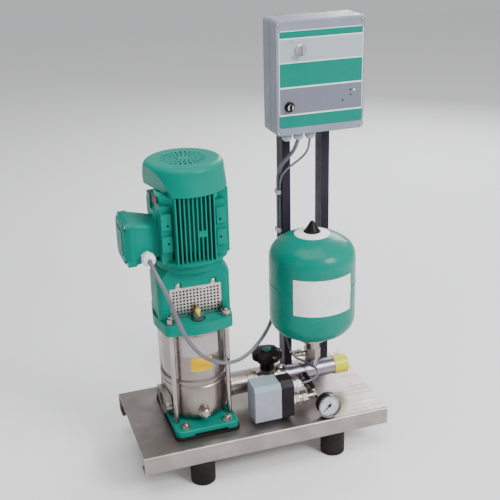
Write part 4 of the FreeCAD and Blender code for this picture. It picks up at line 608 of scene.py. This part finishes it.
def makeLamps(row):
    r = row["radius"]
    for name, x, z, color, glow in row["lamps"]:
        mat = plastic(name, tuple(c * 0.8 for c in color), color, roughness=0.2, grain=300, depth=0.00002)
        shader = mat.node_tree.nodes["Principled BSDF"]
        shader.inputs["Emission Color"].default_value = (*color, 1)
        shader.inputs["Emission Strength"].default_value = glow
        bm = spun([(0, 0), (r, 0), (r, 0.0006), (r * 0.85, 0.0012), (r * 0.5, 0.0016), (0, 0.0018)], 24)
        place(bm, (x, row["depth"], z), (0, -1, 0))
        pieceFrom(bm, name, mat, "set")


makeLamps(lampRow)

# two plain rings beside the main switch
switchMarks = {
    "places": [(0.1235, 0.9685), (0.1245, 0.9360)], "radius": 0.0026, "line": 0.0006, "thick": 0.0002,
    "depth": 0.0195,
}
markInk = plastic("markInk", (0.10, 0.09, 0.11), (0.16, 0.15, 0.17), roughness=0.4)


def makeSwitchMarks(marks):
    outer = marks["radius"]
    inner = outer - marks["line"]
    for i, (x, z) in enumerate(marks["places"]):
        ring = spun([(outer, 0), (outer, marks["thick"]), (inner, marks["thick"]), (inner, 0)], 24)
        place(ring, (x, marks["depth"], z), (0, -1, 0))
        pieceFrom(ring, "switchMark%d" % i, markInk, "set")


makeSwitchMarks(switchMarks)

selectorFace = {
    "radius": 0.0072, "centre": (0.1178, 0.0117, 0.8266), "side": 0.0012, "top": 0.0018, "corner": 0.0008,
}


def makeSelectorFace(face):
    r = face["radius"]
    bm = spun([(0, 0), (r, 0), (r, face["side"]), (r - face["corner"], face["top"]), (0, face["top"])], 32)
    place(bm, face["centre"], (0, -1, 0))
    pieceFrom(bm, "selectorFace", silverAlloy, "selector")


makeSelectorFace(selectorFace)
print("lid finished")


# gauge

gaugeFace = {
    "centre": (0.153, -0.1425, 0.139), "tilt": 5.0, "radius": 0.029, "lip": 0.0026, "dial": 0.0065,
    "strokes": 31, "firstStroke": 225, "strokeStep": 9, "longEvery": 5,
    "longFrom": 0.0188, "shortFrom": 0.0208, "strokeEnd": 0.0232, "longHalf": 0.0005, "shortHalf": 0.0003,
}


def makeBezel(gauge, face, normal):
    r = gauge["radius"]
    rim = r - gauge["lip"]
    bezelSteel = metal("bezelSteel", (0.16, 0.15, 0.15), (0.26, 0.25, 0.25),
                       smooth=0.16, rough=0.3, brush=(200, 200, 200))
    bezel = spun([(r + 0.0002, -0.0052), (r + 0.0006, -0.001), (r - 0.0002, 0.0006), (rim, 0.0008),
                  (rim - 0.0006, 0.0002), (rim - 0.0006, -0.001), (r - 0.0008, -0.001),
                  (r - 0.0008, -0.0052)], 96)
    place(bezel, face, normal)
    pieceFrom(bezel, "gaugeBezel", bezelSteel, "set")


def makeDial(gauge, face, normal):
    rim = gauge["radius"] - gauge["lip"]
    dialWhite = plastic("dialWhite", (0.78, 0.78, 0.80), (0.86, 0.86, 0.88), roughness=0.4)
    back = -gauge["dial"] + 0.0001
    front = -gauge["dial"] + 0.0006
    dial = spun([(0, back), (rim, back), (rim, front), (0, front)])
    place(dial, face, normal)
    pieceFrom(dial, "gaugeDial", dialWhite, "set")


def makeScale(gauge, face, normal):
    # long and short strokes round the dial
    up = normal.cross(Vector((1, 0, 0)))
    base = face - normal * (gauge["dial"] - 0.0008)
    bm = bmesh.new()
    for i in range(gauge["strokes"]):
        angle = math.radians(gauge["firstStroke"] - gauge["strokeStep"] * i)
        out = Vector((1, 0, 0)) * math.cos(angle) - up * math.sin(angle)
        long = i % gauge["longEvery"] == 0
        start = base + out * (gauge["longFrom"] if long else gauge["shortFrom"])
        end = base + out * gauge["strokeEnd"]
        wide = normal.cross(out) * (gauge["longHalf"] if long else gauge["shortHalf"])
        bm.faces.new([bm.verts.new(p) for p in (start + wide, start - wide, end - wide, end + wide)])
    bmesh.ops.solidify(bm, geom=bm.faces[:], thickness=0.0001)
    pieceFrom(bm, "gaugeScale", markInk, "set")


def makeGlass(gauge, face, normal):
    rim = gauge["radius"] - gauge["lip"]
    glass = startMaterial("gaugeGlass", (0.95, 0.97, 0.97), 0.05)
    shader = glass.node_tree.nodes["Principled BSDF"]
    shader.inputs["Transmission Weight"].default_value = 1.0
    shader.inputs["IOR"].default_value = 1.1
    addBump(glass, noiseIn(glass, 40), 0.05, 0.00005)
    pane = spun([(0, -0.002), (rim - 0.0002, -0.002), (rim - 0.0002, -0.0006), (rim * 0.6, -0.0003),
                 (0, -0.0002)])
    place(pane, face, normal)
    pieceFrom(pane, "gaugeGlass", glass, "set")


def makeGauge(gauge):
    tilt = math.radians(gauge["tilt"])
    normal = Vector((0, -math.cos(tilt), math.sin(tilt)))
    face = Vector(gauge["centre"])
    for make in (makeBezel, makeDial, makeScale, makeGlass):
        make(gauge, face, normal)


makeGauge(gaugeFace)


# green disc in the top of the star knob

knobInsert = {
    "radius": 0.0124, "centre": (0.045, -0.003, 0.2430),
    "dark": (0.0, 0.055, 0.05), "light": (0.0, 0.09, 0.08),
}


def makeKnobInsert(insert):
    r = insert["radius"]
    insertGreen = plastic("insertGreen", insert["dark"], insert["light"], roughness=0.25)
    bm = spun([(0, 0), (r, 0), (r, 0.0012), (r * 0.9, 0.0018), (r * 0.5, 0.0022), (0, 0.0024)], 48)
    place(bm, insert["centre"])
    pieceFrom(bm, "knobInsert", insertGreen, "knob")


makeKnobInsert(knobInsert)


# rating plate on the motor, left bare

ratingPlate = {
    "x": -0.2055, "y": pumpAxis[1], "z": 0.661,
    "wide": 0.046, "tall": 0.022, "thick": 0.0012, "corner": 0.002,
}


def makeRatingPlate(plate):
    bm = bmesh.new()
    bmesh.ops.create_cube(bm, size=1)
    for vert in bm.verts:
        vert.co = (plate["x"] + vert.co.x * plate["thick"], plate["y"] + vert.co.y * plate["wide"],
                   plate["z"] + vert.co.z * plate["tall"])
    through = [e for e in bm.edges if abs(e.verts[0].co.x - e.verts[1].co.x) > 1e-6]
    bmesh.ops.bevel(bm, geom=through, offset=plate["corner"], segments=4, affect="EDGES", profile=0.5,
                    material=-1)
    pieceFrom(bm, "ratingPlate", plateRed, "set")


makeRatingPlate(ratingPlate)
print("small pieces made")


# floor and light

studio = {
    "floor": 6, "floorColor": (0.9, 0.9, 0.9), "sky": (0.97, 0.98, 1.0), "skyPower": 0.55,
    "aim": (0, 0, 0.45),
    # place, size, power and colour of each lamp
    "lamps": {
        "keyLight": ((1.7, -2.4, 2.5), 1.3, 115, (1.0, 0.99, 0.98)),
        "fillLight": ((-2.4, -1.7, 1.6), 1.6, 9, (1.0, 0.85, 0.76)),
        "topLight": ((0.0, -0.3, 3.2), 2.4, 70, (0.98, 0.99, 1.0)),
        "windowLight": ((1.9, 2.3, 1.7), 1.3, 55, (0.96, 0.98, 1.0)),
    },
}


def makeFloor(room):
    bm = bmesh.new()
    bmesh.ops.create_grid(bm, x_segments=1, y_segments=1, size=room["floor"])
    data = bpy.data.meshes.new("studioFloor")
    bm.to_mesh(data)
    bm.free()
    floor = bpy.data.objects.new("studioFloor", data)
    bpy.context.scene.collection.objects.link(floor)
    mat = startMaterial("studioFloor", room["floorColor"], 0.95)
    mat.node_tree.nodes["Principled BSDF"].inputs["Specular IOR Level"].default_value = 0.1
    data.materials.append(mat)


def makeLight(room):
    world = bpy.data.worlds.new("studioWorld")
    world.use_nodes = True
    sky = world.node_tree.nodes["Background"]
    sky.inputs["Color"].default_value = (*room["sky"], 1)
    sky.inputs["Strength"].default_value = room["skyPower"]
    bpy.context.scene.world = world
    for name, (where, size, power, color) in room["lamps"].items():
        light = bpy.data.lights.new(name, "AREA")
        light.size = size
        light.energy = power
        light.color = color
        lamp = bpy.data.objects.new(name, light)
        lamp.location = where
        lamp.rotation_euler = (Vector(room["aim"]) - Vector(where)).to_track_quat("-Z", "Y").to_euler()
        bpy.context.scene.collection.objects.link(lamp)


makeFloor(studio)
makeLight(studio)
print("studio set")
